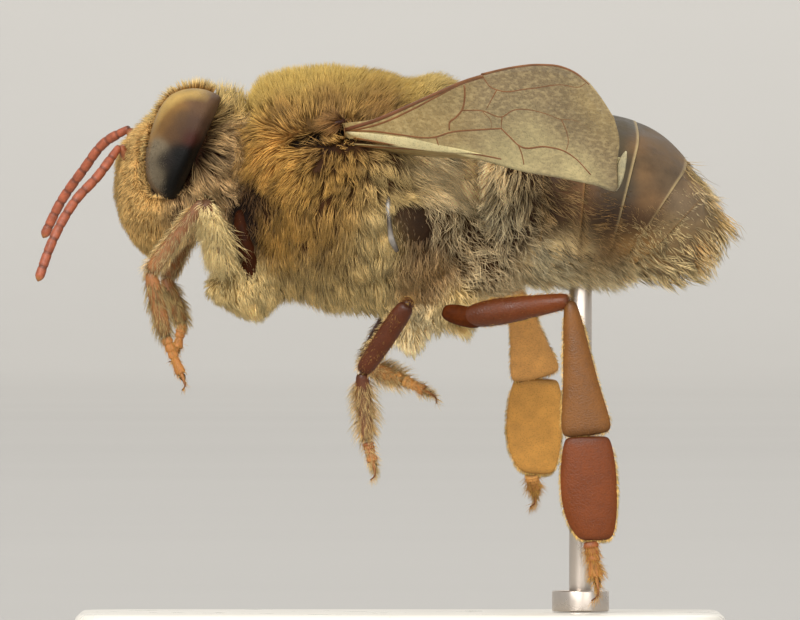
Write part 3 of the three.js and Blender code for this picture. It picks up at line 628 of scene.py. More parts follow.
class Finish:
    """A material under way: its tree, its shader and what colours it."""

    def __init__(self, name, group, grain, strength, colour=None, **settings):
        self.material = bpy.data.materials.new(name)
        self.material.use_nodes = True
        self.tree = self.material.node_tree
        self.shader = self.tree.nodes["Principled BSDF"]
        for setting, value in settings.items():
            self.shader.inputs[setting.replace("_", " ")].default_value = value
        self.mottle = self.tree.nodes.new("ShaderNodeGroup")
        self.mottle.node_tree = group
        self.mottle.inputs["Grain"].default_value = grain
        self.mottle.inputs["Strength"].default_value = strength
        if colour is None:
            tint = self.tree.nodes.new("ShaderNodeAttribute")
            tint.attribute_name = "tint"
            self.link(tint.outputs["Color"], self.mottle.inputs["Tint"])
        else:
            self.mottle.inputs["Tint"].default_value = (*colour, 1.0)
        self.link(self.mottle.outputs["Tint"], self.shader.inputs["Base Color"])

    def link(self, source, target):
        self.tree.links.new(source, target)

    def bump(self, height, distance, strength=1.0):
        """Raises the surface by a height that varies over it."""
        made = node(self.tree, "ShaderNodeBump", Distance=distance, Strength=strength)
        self.link(height, made.inputs["Height"])
        previous = self.shader.inputs["Normal"].links
        if previous:
            self.link(previous[0].from_socket, made.inputs["Normal"])
        self.link(made.outputs["Normal"], self.shader.inputs["Normal"])

    def roughen(self, low, high):
        """Lets the gloss vary with the mottle."""
        span = node(self.tree, "ShaderNodeMapRange", From_Min=0.35, From_Max=0.65, To_Min=low, To_Max=high)
        self.link(self.mottle.outputs["Relief"], span.inputs["Value"])
        self.link(span.outputs["Result"], self.shader.inputs["Roughness"])

    def cells(self, scale, feature="F1"):
        """A pattern of small cells over the surface."""
        place = self.tree.nodes.new("ShaderNodeTexCoord")
        made = node(self.tree, "ShaderNodeTexVoronoi", Scale=scale)
        made.feature = feature
        self.link(place.outputs["Object"], made.inputs["Vector"])
        return made.outputs["Distance"]

    def speckle(self, scale, dark, light):
        """Darkens the colour at the heart of each small cell, and gives back the cells."""
        cells = self.cells(scale)
        shade = node(self.tree, "ShaderNodeMapRange", From_Min=0.1, From_Max=0.45, To_Min=dark, To_Max=light)
        scaled = self.tree.nodes.new("ShaderNodeVectorMath")
        scaled.operation = "SCALE"
        self.link(cells, shade.inputs["Value"])
        self.link(self.mottle.outputs["Tint"], scaled.inputs[0])
        self.link(shade.outputs["Result"], scaled.inputs["Scale"])
        self.link(scaled.outputs[0], self.shader.inputs["Base Color"])
        return cells

    def grain(self, scale, stretch=(1.0, 1.0, 1.0)):
        """A fine noise, drawn out along an axis where it is stretched."""
        place = self.tree.nodes.new("ShaderNodeTexCoord")
        mapping = node(self.tree, "ShaderNodeMapping", Scale=stretch)
        made = node(self.tree, "ShaderNodeTexNoise", Scale=scale, Detail=3.0)
        self.link(place.outputs["Object"], mapping.inputs["Vector"])
        self.link(mapping.outputs["Vector"], made.inputs["Vector"])
        return made.outputs["Fac"]


def make_finishes():
    """Every finish of the bee and its stand, by name."""
    group = mottle_group()

    hair = Finish("hair", group, 1500.0, 0.12, Roughness=0.55, Specular_IOR_Level=0.35)

    skin = Finish("skin", group, 3000.0, 0.25, Roughness=0.8, Specular_IOR_Level=0.15)
    skin.roughen(0.7, 0.9)
    skin.bump(skin.grain(9000.0), 0.00003)

    eye = Finish("compound eye", group, 1600.0, 0.25, Roughness=0.55, Specular_IOR_Level=0.18)
    eye.roughen(0.48, 0.68)
    eye.bump(eye.cells(27000.0), 0.000012, 0.8)

    shell = Finish("shell plate", group, 1800.0, 0.28, Roughness=0.52, Specular_IOR_Level=0.25)
    shell.roughen(0.44, 0.66)
    shell.bump(shell.grain(6000.0, (0.35, 1.0, 1.0)), 0.00002, 0.7)
    shell.bump(shell.cells(14000.0), 0.000006, 0.5)

    horn = Finish("horn", group, 2600.0, 0.14, Roughness=0.4, Specular_IOR_Level=0.3)
    horn.roughen(0.34, 0.55)
    horn.bump(horn.grain(9000.0, (1.0, 1.0, 0.4)), 0.000005, 0.6)
    horn.bump(horn.speckle(22000.0, 0.76, 1.08), 0.000008, 0.8)

    hide = Finish("bare hide", group, 4000.0, 0.35, Roughness=0.6, Specular_IOR_Level=0.05)
    hide.roughen(0.5, 0.75)
    hide.bump(hide.grain(8000.0), 0.00003)

    feeler = Finish("feeler", group, 6000.0, 0.32, Roughness=0.5)
    feeler.bump(feeler.cells(26000.0), 0.000008, 0.7)

    glass = Finish("glassy ridge", group, 5000.0, 0.4, Roughness=0.3, Coat_Weight=0.3)
    glass.bump(glass.grain(5000.0), 0.00001, 0.5)

    membrane = membrane_finish(group)

    vein = Finish("wing vein", group, 1800.0, 0.25, Roughness=0.4)
    vein.bump(vein.grain(9000.0), 0.00001, 0.6)

    steel = Finish("brushed steel", group, 900.0, 0.06, dye("glass"), Metallic=1.0, Roughness=0.3)
    steel.roughen(0.24, 0.4)
    steel.bump(steel.grain(9000.0, (1.0, 1.0, 0.06)), 0.000006, 0.6)

    board = Finish("white board", group, 700.0, 0.012, dye("board"), Roughness=0.3, Coat_Weight=0.2)
    board.roughen(0.26, 0.42)
    board.bump(board.grain(2500.0), 0.00001, 0.5)

    floor = Finish("pale floor", group, 6.0, 0.02, FLOOR_COLOUR, Roughness=0.85)
    floor.bump(floor.grain(40.0), 0.0005, 0.2)

    made = {
        "hair": hair, "skin": skin, "eye": eye, "shell": shell, "horn": horn, "hide": hide, "feeler": feeler,
        "glass": glass, "membrane": membrane, "vein": vein, "steel": steel, "board": board, "floor": floor,
    }
    return {name: finish.material for name, finish in made.items()}


def membrane_finish(group):
    """Thin wing skin: creamy, half clear, with fine hairs as darker specks and painted pale glints."""
    skin = Finish("wing membrane", group, 900.0, 0.16, Roughness=0.32)
    specks = skin.speckle(17000.0, 0.6, 1.12)
    # Painted highlights: a stretched noise mixes pale cream glints into the colour.
    painted_glints = node(skin.tree, "ShaderNodeMapRange", From_Min=0.45, From_Max=0.7, To_Min=0.0, To_Max=0.24)
    skin.link(skin.grain(10500.0, (0.5, 0.5, 1.2)), painted_glints.inputs["Value"])
    mix = skin.tree.nodes.new("ShaderNodeMix")
    mix.data_type = "RGBA"
    mix.inputs["B"].default_value = (*dye("cream"), 1.0)
    skin.link(painted_glints.outputs["Result"], mix.inputs["Factor"])
    skin.link(skin.shader.inputs["Base Color"].links[0].from_socket, mix.inputs["A"])
    skin.link(mix.outputs["Result"], skin.shader.inputs["Base Color"])
    veil = node(skin.tree, "ShaderNodeMapRange", From_Min=0.1, From_Max=0.45, To_Min=0.94, To_Max=0.82)
    skin.link(specks, veil.inputs["Value"])
    skin.link(veil.outputs["Result"], skin.shader.inputs["Alpha"])
    skin.bump(skin.grain(1300.0, (1.0, 1.0, 2.0)), 0.00006, 0.8)
    skin.bump(specks, 0.00001, 0.5)
    return skin


# ---- skin ----

SKIN_NODES = ("head", "mouthparts", "neck", "pronotum", "thorax", "propodeum", "scutellum") + tuple(
    f"{pair}_{side}_coxa" for pair in ("front", "mid", "hind") for side, _ in SIDES)
# Balls that fill out the skin: middle, half sizes, lean in degrees.
SKIN_FILLS = (
    ((-5.3, 0.0, 13.5), (1.1, 1.62, 1.72), 22), ((-6.3, 0.0, 13.3), (0.75, 1.35, 1.3), 15),
    ((-4.2, 0.0, 12.9), (0.6, 0.9, 1.1), 0), ((-4.5, 0.0, 13.75), (0.6, 1.25, 1.4), 0),
    ((-3.7, 0.0, 14.3), (0.62, 1.6, 1.2), 0), ((-4.0, -0.85, 11.2), (0.5, 0.75, 1.2), 10),
    ((-4.0, 0.85, 11.2), (0.5, 0.75, 1.2), 10), ((-4.4, -0.85, 9.98), (0.95, 0.8, 0.68), -12),
    ((-4.4, 0.85, 9.98), (0.95, 0.8, 0.68), -12), ((2.0, 0.0, 11.7), (1.2, 1.5, 1.75), 0),
    ((2.3, 0.0, 10.6), (1.1, 1.5, 0.9), 0), ((-1.7, -2.15, 13.9), (0.85, 0.45, 0.6), 0),
    ((-1.7, 2.15, 13.9), (0.85, 0.45, 0.6), 0), ((-6.2, -0.95, 12.5), (0.5, 0.5, 0.75), 24),
    ((-6.2, 0.95, 12.5), (0.5, 0.5, 0.75), 24),
)
# The skin is swollen and closed first, then drawn in by the coat, with a narrower brow.
SKIN_GROW = 0.07
SKIN_VOXEL = 0.13
BROW_HEIGHT = 13.6
BROW_REAR = -4.9
BROW_NARROWING = 0.32
BROW_MOST = 0.6
# How dark the skin is under the coat, by its fullness: partly the skin's own dark colour, partly painted
# shade between and under the hairs.
SKIN_TONE_AND_SHADE = (0.22, 0.28)
BARE_FROM = 0.7
BARE_BELOW = 0.5


def make_ball(name, middle, half, lean):
    """A plain ball drawn out to its half sizes, leaned over and put in its place."""
    set_down()
    bpy.ops.mesh.primitive_uv_sphere_add(segments=32, ring_count=20, radius=1)
    ball = named(name)
    bpy.ops.transform.resize(value=half)
    bpy.ops.transform.rotate(value=math.radians(lean), orient_axis="Y", center_override=(0, 0, 0))
    bpy.ops.transform.translate(value=middle)
    bpy.ops.object.transform_apply(location=True, rotation=True, scale=True)
    return ball


def make_skin(finish):
    """One skin from head to loin: the body's solids joined, closed over and drawn in by the coat."""
    set_down()
    for name in SKIN_NODES:
        copy = bpy.data.objects[name].copy()
        copy.data = copy.data.copy()
        bpy.context.collection.objects.link(copy)
        copy.select_set(True)
        bpy.context.view_layer.objects.active = copy
    bpy.ops.object.join()
    skin = named("skin")
    skin.data.transform(Matrix.Scale(1 / MM, 4))
    weld(skin, 1e-3)
    apply(skin, "DISPLACE", strength=SKIN_GROW, mid_level=0.0)
    parts = [skin] + [make_ball(f"flesh_{number}", *fill) for number, fill in enumerate(SKIN_FILLS)]
    skin = join("skin", parts)
    apply(skin, "REMESH", mode="VOXEL", voxel_size=SKIN_VOXEL)
    apply(skin, "SMOOTH", factor=0.5, iterations=10)
    points = corners(skin)
    points -= facing(skin) * (coat_depth(points) + SKIN_GROW)[:, None]
    above = np.clip((points[:, 2] - BROW_HEIGHT) * BROW_NARROWING, 0, BROW_MOST)
    points[:, 1] *= 1 - above * (points[:, 0] < BROW_REAR)
    reshape(skin, points)
    apply(skin, "SMOOTH", factor=0.5, iterations=8)
    points = corners(skin)
    slit = slit_share(points)
    points[:, 1] -= np.sign(points[:, 1]) * WING_SLIT_DEPTH * slit
    reshape(skin, points)
    coat = coat_at(points)
    full = coat["fullness"][:, None]
    # The skin takes the coat's root colour, darker where the coat is thin: partly its own colour, partly
    # painted shade. Bare skin behind the thorax takes the dark "gap" dye: painted shade of the waist hollow.
    colours = (SKIN_TONE_AND_SHADE[0] + SKIN_TONE_AND_SHADE[1] * full) * coat["root"]
    bare = np.clip(1 - full / BARE_BELOW, 0, 1) * (points[:, :1] > BARE_FROM)
    colours = colours * (1 - bare) + dye("gap") * bare
    # The slit under each forewing root is painted near black: painted shade in the slit.
    paint(skin, colours * (1 - slit[:, None]) + dye("eye black") * slit[:, None])
    smooth(skin)
    return settle(skin, finish, "coat", *SKIN_NODES)


# ---- eyes ----


def eye_frame():
    """The eye's long way and its way across, in the side plane."""
    lean = math.radians(EYE_LEAN)
    return np.array([math.sin(lean), 0, math.cos(lean)]), np.array([math.cos(lean), 0, -math.sin(lean)])


def make_eye(side_name, side, finish):
    """A compound eye: half a ball, drawn to a D with a straight rear edge and a full dome."""
    set_down()
    bpy.ops.mesh.primitive_uv_sphere_add(segments=112, ring_count=72, radius=1)
    eye = named(f"compound_eye_{side_name}")
    bpy.ops.object.mode_set(mode="EDIT")
    bpy.ops.mesh.select_all(action="SELECT")
    bpy.ops.mesh.bisect(plane_co=(0, side * 0.001, 0), plane_no=(0, -side, 0), clear_outer=True,
                        use_fill=True)
    bpy.ops.object.mode_set(mode="OBJECT")
    ball = corners(eye)
    height = np.clip(ball[:, 2], -0.9999, 0.9999)
    square = (1 - height ** EYE_SQUARE) ** (1 / EYE_SQUARE) / (1 - height ** 2) ** 0.5
    reach = np.sqrt(ball[:, 0] ** 2 + ball[:, 2] ** 2)
    dome = (1 - np.clip(reach, 0, 1) ** EYE_DOME) ** (1 / EYE_DOME)
    wall = np.clip(np.abs(ball[:, 1]) / EYE_WALL, 0, 1)
    front = EYE_FRONT * (1 + EYE_BROW * np.clip(ball[:, 2] + 0.3, 0, 1) ** 1.5)
    across = np.where(ball[:, 0] < 0, front, EYE_REAR * square) * ball[:, 0]
    long_way, short_way = eye_frame()
    points = EYE_CENTRE + np.outer(ball[:, 2] * EYE_HALF_LENGTH, long_way) + np.outer(across, short_way)
    points[:, 1] = side * (EYE_GAP + EYE_BASE * wall + (EYE_REACH - EYE_BASE - EYE_GAP) * dome)
    reshape(eye, points)
    rise = np.clip(0.5 + ball[:, 2], 0, 1)
    edge = np.clip((reach - 0.9 + 0.14 * rise) / 0.12, 0, 1) * np.clip(0.3 - 3 * ball[:, 0], 0, 1)
    edge = (0.85 * edge)[:, None]
    rise = rise[:, None]
    band = dye("eye amber") * (1 - rise) + dye("crown gold") * rise
    back = (0.6 * np.clip((ball[:, 0] - 0.72) / 0.2, 0, 1))[:, None]
    # The eye's patches, partly painted reflection, with its amber and gold front band and a darker rear edge.
    paint(eye, (blend_dyes(points, EYE_TINTS_AND_REFLECTIONS) * (1 - edge) + band * edge) * (1 - back))
    weld(eye, 1e-4, outward=True)
    smooth(eye)
    return settle(eye, finish, "eye", f"eye_{side_name}")


# ---- tubes, feelers and small shells ----


def wrapped_tube(name, rows, sides):
    """A tube drawn from a flat grid: rows along it, sides around it, closed to a point at each end."""
    set_down()
    bpy.ops.mesh.primitive_grid_add(x_subdivisions=rows - 1, y_subdivisions=sides, size=2)
    tube = named(name)
    flat = corners(tube)
    row = np.rint((flat[:, 0] + 1) / 2 * (rows - 1)).astype(int)
    turn = (flat[:, 1] + 1) * math.pi
    return tube, row, turn


def make_cane(name, route, width, depth, steps, sides=12, out=(0.0, 1.0, 0.0)):
    """A solid rod along a smooth route, with half width and half depth given by share of its length."""
    tube, row, turn = wrapped_tube(name, steps + 2, sides)
    share = np.clip((np.arange(steps + 2) - 0.5) / steps, 0, 1)
    share[[0, 1]] = 0
    share[[-2, -1]] = 1
    middle = along(route, share)
    ahead = unit(along(route, np.clip(share + 0.01, 0, 1)) - along(route, np.clip(share - 0.01, 0, 1)))
    beside = unit(np.cross(ahead, np.array(out)))
    over = np.cross(beside, ahead)
    wide = np.array([width(s) for s in share])
    deep = np.array([depth(s) for s in share])
    wide[[0, -1]] = 0
    deep[[0, -1]] = 0
    points = (middle[row] + beside[row] * (wide[row] * np.cos(turn))[:, None]
              + over[row] * (deep[row] * np.sin(turn))[:, None])
    reshape(tube, points)
    mark_shares(tube, share[row])
    weld(tube, 1e-5, outward=True)
    return tube


def rounded(foot, swell):
    """A half width that swells from the foot of a rod to its middle, and shrinks again to its end."""
    return lambda share: foot + swell * math.sin(math.pi * share)


def ringed(share, rings, half, first=0.72):
    """The half width of a feeler made of short drums, slimmer at its foot and rounded at its tip."""
    place = share * rings
    part = place - np.floor(place)
    groove = np.exp(-((min(part, 1 - part)) / 0.07) ** 2)
    foot = first + (1 - first) * min(share / 0.12, 1)
    end = max(1 - max(share - 0.965, 0) / 0.035, 0) ** 0.5
    return half * foot * (1 - 0.16 * groove) * max(end, 0.15)


def make_antenna(side_name, side, finish):
    """A feeler: its long first joint and the ringed whip."""
    lift = RIGHT_SCAPE_LIFT if side > 0 else 0.0
    foot = (SCAPE[0][0], side * SCAPE[0][1], SCAPE[0][2] + lift)
    head = (SCAPE[1][0] + lift / 2, side * SCAPE[1][1], SCAPE[1][2] + lift)
    middle = tuple((np.array(foot) + head) / 2)
    half = rounded(0.1, 0.04)
    scape = make_cane(f"feeler_foot_{side_name}", (foot, middle, head), half, half, 20)
    paint(scape, dye("russet"))
    smooth(scape)
    settle(scape, finish, "antenna", f"antenna_{side_name}_scape")

    def drum(share):
        return ringed(share, FLAGELLUM_RINGS, FLAGELLUM_HALF)

    whip = make_cane(f"feeler_{side_name}", FLAGELLUM[side_name], drum, drum, FLAGELLUM_RINGS * 10, 16)
    share = shares(whip)
    part = share * FLAGELLUM_RINGS % 1
    joint = np.exp(-((np.minimum(part, 1 - part)) / 0.09) ** 2)[:, None]
    tip = np.clip((share - 0.965) / 0.03, 0, 1)[:, None]
    paint(whip, dye("feeler") * (1 - 0.6 * joint) * (1 - tip) + dye("amber") * tip)
    smooth(whip)
    settle(whip, finish, "antenna", f"antenna_{side_name}_flagellum")


def make_dome(name, middle, half, lean, finish, slot, colour, *nodes):
    """A small rounded shell: a ball drawn to size and leaned over, paler to its top."""
    dome = make_ball(name, middle, half, lean)
    rise = np.clip((corners(dome)[:, 2] - (middle[2] - half[2])) / (2 * half[2]), 0, 1)[:, None]
    paint(dome, dye(colour) * (0.7 + 0.5 * rise))
    smooth(dome)
    return settle(dome, finish, slot, *nodes)


# ---- abdomen ----


def abdomen_ring(place):
    """Middle height, half height and half width of the abdomen at a place along it."""
    top, bottom, half = between(ABDOMEN, place).T
    start, end = ABDOMEN[0][0], ABDOMEN[-1][0]
    share = (np.clip(place, start, end) - start) / (end - start)
    full = (1 - np.abs(2 * share - 1) ** ABDOMEN_BLUNT) ** (1 / ABDOMEN_BLUNT)
    return (top + bottom) / 2, (top - bottom) / 2 * full, half * full


def edge_at(edge, height):
    """Where a plate's edge lies at a height: a leaning line that turns forward above its shoulder."""
    place, lean, shoulder, crook = edge
    return (place + math.tan(math.radians(lean)) * (height - PLATE_HEIGHT)
            - crook * np.clip(height - shoulder, 0, None) ** 2)


def make_plate(index, finish):
    """One ring of the abdomen, tucked under the ring before it, with a lipped rear edge."""
    front, rear = PLATE_EDGES[index], PLATE_EDGES[index + 1]
    last = index == len(PLATE_EDGES) - 2
    tuck = 0.0 if index == 0 else PLATE_TUCK
    share = np.concatenate([[0], np.linspace(0, 1, PLATE_STEPS), LIP_SHARES])
    drop = PLATE_DROP * (1 - np.clip(share / 0.55, 0, 1)) ** 1.5
    if last:
        share[-len(LIP_SHARES):] = 1
    else:
        drop[-len(LIP_DROPS):] = LIP_DROPS
    close = np.ones(len(share))
    close[[0, -1]] = 0
    plate, row, turn = wrapped_tube(f"ring_{index + 1}", len(share), 96)
    height = np.full(len(row), PLATE_HEIGHT)
    for _ in range(10):
        start = edge_at(front, height) - tuck
        place = start + (edge_at(rear, height) - start) * share[row]
        place = np.clip(place, ABDOMEN[0][0], ABDOMEN[-1][0])
        middle, tall, wide = abdomen_ring(place)
        height = (height + middle + tall * np.sin(turn)) / 2
    inset = drop[row]
    points = np.column_stack([place, wide * np.cos(turn), middle + tall * np.sin(turn)])
    depth = coat_depth(points) - COAT_REST
    factor = close[row] * np.clip(1 - (inset + depth + 0.02) / np.maximum(np.minimum(tall, wide), 0.05), 0, 1)
    points[:, 1] *= factor
    points[:, 2] = middle + (points[:, 2] - middle) * factor
    reshape(plate, points)
    mark_shares(plate, share[row])
    weld(plate, 1e-4, outward=True)
    points = corners(plate)
    rim = np.clip((shares(plate) - 0.965) / 0.02, 0, 1)[:, None]
    colours = blend_dyes(points, SHELL_TINTS)
    if index in (3, 4):
        upper = 0.8 * np.clip((points[:, 2] - 11.0) / 1.6, 0, 1)[:, None]
        colours = colours * (1 - rim * upper) + dye("rim") * rim * upper
    elif index in (1, 2, 5):
        colours = colours * (1 - 0.5 * rim) + dye("honey") * 0.5 * rim
    paint(plate, colours)
    smooth(plate)
    return settle(plate, finish, "abdomen", f"abdomen_{index + 1}")


# ---- wings ----


def wing_frame(plan, side):
    """A wing's root, and its ways along, across and out of its plane."""
    sweep, droop, twist = (math.radians(plan[key]) for key in ("sweep", "droop", "twist"))
    root = np.array(plan["root"]) * (1, side, 1)
    level = np.array([math.cos(sweep), side * math.sin(sweep), 0])
    inward = np.array([math.sin(sweep), -side * math.cos(sweep), 0])
    down = np.array([0, 0, -1.0])
    out = level * math.cos(droop) + down * math.sin(droop)
    across = (down * math.cos(droop) - level * math.sin(droop)) * math.cos(twist) + inward * math.sin(twist)
    return root, out, across, np.cross(out, across)


def on_wing(plan, side, spots, raised=0.0):
    """Places on a wing, from places in its own plane, raised towards its outer face."""
    root, out, across, face = wing_frame(plan, side)
    spots = np.atleast_2d(spots)
    ripple = 0.05 * np.sin(spots[:, 0] * 1.1) * spots[:, 1]
    ripple = ripple + 0.03 * np.sin(spots[:, 1] * 3.0 + 0.4 * spots[:, 0])
    rise = side * (ripple + raised)
    return root + np.outer(spots[:, 0], out) + np.outer(spots[:, 1], across) + np.outer(rise, face)


def make_wing(name, plan, side, tints, finish, node_name):
    """The clear skin of a wing: a grid stretched between its edges, rippled and made solid."""
    set_down()
    bpy.ops.mesh.primitive_grid_add(x_subdivisions=150, y_subdivisions=30, size=2)
    wing = named(name)
    flat = (corners(wing)[:, :2] + 1) / 2
    lead = along(plan["lead"], flat[:, 0])
    trail = along(plan["trail"], flat[:, 0])
    spots = lead + (trail - lead) * flat[:, 1:]
    reshape(wing, on_wing(plan, side, spots))
    paint(wing, blend_dyes(spots[:, [0, 0, 1]], tints))
    weld(wing, 1e-4)
    apply(wing, "SOLIDIFY", thickness=WING_THICKNESS, offset=0.0)
    smooth(wing)
    return settle(wing, finish, "wing", node_name)


def make_veins(name, plan, side, finish):
    """The veins of a wing: fine rods on its plane, thick by the root and thin to the tip."""
    rods = []
    face = tuple(wing_frame(plan, side)[3])
    for number, (half, spots) in enumerate(plan["veins"]):
        stout = half > STOUT_VEIN
        taper = 0.25 if stout else 0.15
        route = on_wing(plan, side, along(spots, np.linspace(0, 1, 4 * len(spots))))
        rod = make_cane(f"{name}_{number}", route, lambda share: half * (1 - taper * share),
                        lambda share: half * 0.8 * (1 - taper * share), max(12, 5 * len(spots)), 8, out=face)
        share = shares(rod)[:, None]
        paint(rod, dye("vein dark" if stout else "vein") * (1 - share) + dye("vein") * share)
        rods.append(rod)
    veins = join(name, rods)
    smooth(veins)
    return settle(veins, finish, "wing")


def make_wing_fold(side_name, side, finish):
    """The pale thick fold of wing skin just behind the shoulder of the forewing."""
    def width(share):
        return 0.05 * (1 - share) + 0.13 * math.sin(math.pi * share) ** 1.2

    fold = make_cane(f"wing_fold_{side_name}", on_wing(FOREWING, side, WING_FOLD, 0.015), width,
                     lambda share: 0.02, 40, out=tuple(wing_frame(FOREWING, side)[3]))
    share = shares(fold)[:, None]
    paint(fold, dye("fold cream") * (1 - share) + dye("membrane pale") * share)
    smooth(fold)
    return settle(fold, finish, "wing")


def make_wing_tip(side_name, side, finish):
    """The bent tip of the hindwing, which peeps out behind the forewing's corner."""
    def width(share):
        return 0.15 * math.sin(math.pi * (0.1 + 0.88 * share)) ** 0.7

    tip = make_cane(f"hindwing_tip_{side_name}", on_wing(FOREWING, side, HIND_TIP, -0.06), width,
                    lambda share: 0.012, 24, 8, out=tuple(wing_frame(FOREWING, side)[3]))
    paint(tip, dye("flap"))
    smooth(tip)
    return settle(tip, finish, "wing")


def make_side_ridge(side_name, side, finish):
    """The thin glassy ridge that stands at the rear of the flank, with two painted highlights along it."""
    def width(share):
        return 0.055 + 0.025 * math.sin(math.pi * share) + 0.014 * math.sin(9 * share)

    route = np.array(SIDE_RIDGE) * (1, side, 1)
    ridge = make_cane(f"side_ridge_{side_name}", route, width, lambda share: 0.1, 24)
    share = shares(ridge)[:, None]
    # Painted highlights: two pale bands along the ridge.
    painted_gleam = np.exp(-((share - 0.2) / 0.12) ** 2) + np.exp(-((share - 0.72) / 0.14) ** 2)
    paint(ridge, dye("ridge") * (1 - painted_gleam) + dye("painted_gleam") * painted_gleam)
    smooth(ridge)
    return settle(ridge, finish, "coat")


# ---- legs ----


def make_limb(name, start, end, rings, sides=12):
    """A leg segment: a ring drawn and pulled out ring by ring along its axis, rounded and laid in place."""
    start, end = Vector(start), Vector(end)
    length = (end - start).length
    set_down()
    bpy.ops.mesh.primitive_circle_add(vertices=sides, radius=1, fill_type="NGON")
    limb = named(name)
    bpy.ops.object.mode_set(mode="EDIT")
    bpy.ops.mesh.select_all(action="SELECT")
    bpy.ops.transform.resize(value=(rings[0][1], rings[0][2], 1), center_override=(0, 0, 0))
    for before, ring in zip(rings, rings[1:]):
        rise = (ring[0] - before[0]) * length
        bpy.ops.mesh.extrude_region_move(TRANSFORM_OT_translate={"value": (0, 0, rise)})
        grown = (ring[1] / before[1], ring[2] / before[2], 1)
        shift = sum(ring[3:]) - sum(before[3:])
        bpy.ops.transform.resize(value=grown, center_override=(sum(before[3:]), 0, 0))
        bpy.ops.transform.translate(value=(shift, 0, 0))
    bpy.ops.mesh.select_all(action="SELECT")
    bpy.ops.mesh.normals_make_consistent(inside=False)
    bpy.ops.object.mode_set(mode="OBJECT")
    apply(limb, "SUBSURF", levels=2, render_levels=2)
    axis = (end - start).normalized()
    depth = Vector((0, -1, 0))
    depth = (depth - axis * depth.dot(axis)).normalized()
    across = depth.cross(axis)
    lay = Matrix((across, depth, axis)).transposed().to_4x4()
    height = corners(limb)[:, 2] / length
    limb.data.transform(Matrix.Translation(start) @ lay)
    limb.data.update()
    mark_shares(limb, height)
    return limb


LEG_DYES = {
    "front_femur": ("mauve leg", "mauve leg"), "front_tibia": ("mauve leg", "tan leg"),
    "front_basitarsus": ("tan leg", "tan leg"), "front_tarsus": ("amber", "amber"),
    "mid_femur": ("dark leg", "chestnut"), "mid_tibia": ("chestnut", "chestnut"),
    "mid_basitarsus": ("chestnut", "mauve leg"), "mid_tarsus": ("russet", "amber"),
    "hind_femur": ("chestnut", "hind heel"), "hind_tibia": ("hind shin", "hind shin"),
    "hind_basitarsus": ("hind heel", "hind heel"), "hind_tarsus": ("russet", "amber"),
}
# Painted light: paler copies of the leg dyes for the far legs, the same legs made brighter.
FAR_LEG_LIT_DYES = {
    "hind_femur": ("russet", "far amber"), "hind_tibia": ("far amber", "far amber"),
    "hind_basitarsus": ("far heel", "far heel"), "hind_tarsus": ("far amber", "amber"),
    "mid_basitarsus": ("russet", "far amber"), "mid_tarsus": ("far amber", "amber"),
}


def paint_limb(limb, first, second):
    """Dyes a segment from foot to end, darker at its joints."""
    share = np.clip(shares(limb), 0, 1)[:, None]
    joint = np.exp(-(share / 0.05) ** 2) + np.exp(-((1 - share) / 0.05) ** 2)
    paint(limb, (dye(first) * (1 - share) + dye(second) * share) * (1 - 0.45 * np.clip(joint, 0, 1)))


# Short joints between hip and thigh: start, end, dye and rings.
TROCHANTERS = {
    "front": ((-4.22, 1.2, 12.1), (-3.84, 1.2, 9.9), "bare hip",
              ((0, .1, .06), (.15, .24, .22), (.5, .29, .37), (.8, .26, .26), (1, .1, .06))),
    "mid": ((0.14, 1.5, 9.66), (0.17, 2.2, 9.64), "bare hip",
            ((0, .12, .12), (.3, .17, .17), (.8, .17, .17), (1, .12, .12))),
    "hind": ((1.1, 2.1, 9.42), (2.16, 2.3, 9.18), "chestnut",
             ((0, .16, .16), (.2, .26, .24), (.6, .3, .26), (.9, .26, .22), (1, .18, .16))),
}


def make_trochanter(kind, side_name, side, finish):
    """The short bare joint between hip and thigh."""
    start, end, colour, rings = TROCHANTERS[kind]
    mirror = np.array((1, side, 1))
    joint = make_limb(f"{kind}_{side_name}_trochanter", start * mirror, end * mirror, rings)
    paint_limb(joint, colour, colour)
    smooth(joint)
    return settle(joint, finish, "leg")


def make_claws(name, toe, axis, size):
    """Two hooked claws and the pad between them, at the end of a foot."""
    toe, axis = np.array(toe), unit(np.array(axis))
    bend = np.array([-axis[2], 0, axis[0]])
    parts = []

    def hooked(share):
        return 0.06 * (1 - 0.85 * share)

    for spread in (-1, 1):
        away = np.array([0, spread, 0])
        route = (toe - axis * 0.1, toe + axis * size * 0.5 + away * size * 0.35,
                 toe + axis * size * 0.95 + away * size * 0.55 - bend * size * 0.1,
                 toe + axis * size * 1.15 + away * size * 0.6 - bend * size * 0.45)
        claw = make_cane(f"{name}_{spread}", route, hooked, hooked, 10, 8)
        share = shares(claw)[:, None]
        paint(claw, dye("amber") * (1 - share) + dye("dark leg") * share)
        parts.append(claw)
    pad = make_cane(f"{name}_pad", (toe - axis * 0.05, toe + axis * size * 0.25, toe + axis * size * 0.5),
                    lambda share: 0.09 * math.sin(math.pi * (0.15 + 0.7 * share)), lambda share: 0.08, 8, 8)
    paint(pad, dye("umber"))
    return parts + [pad]


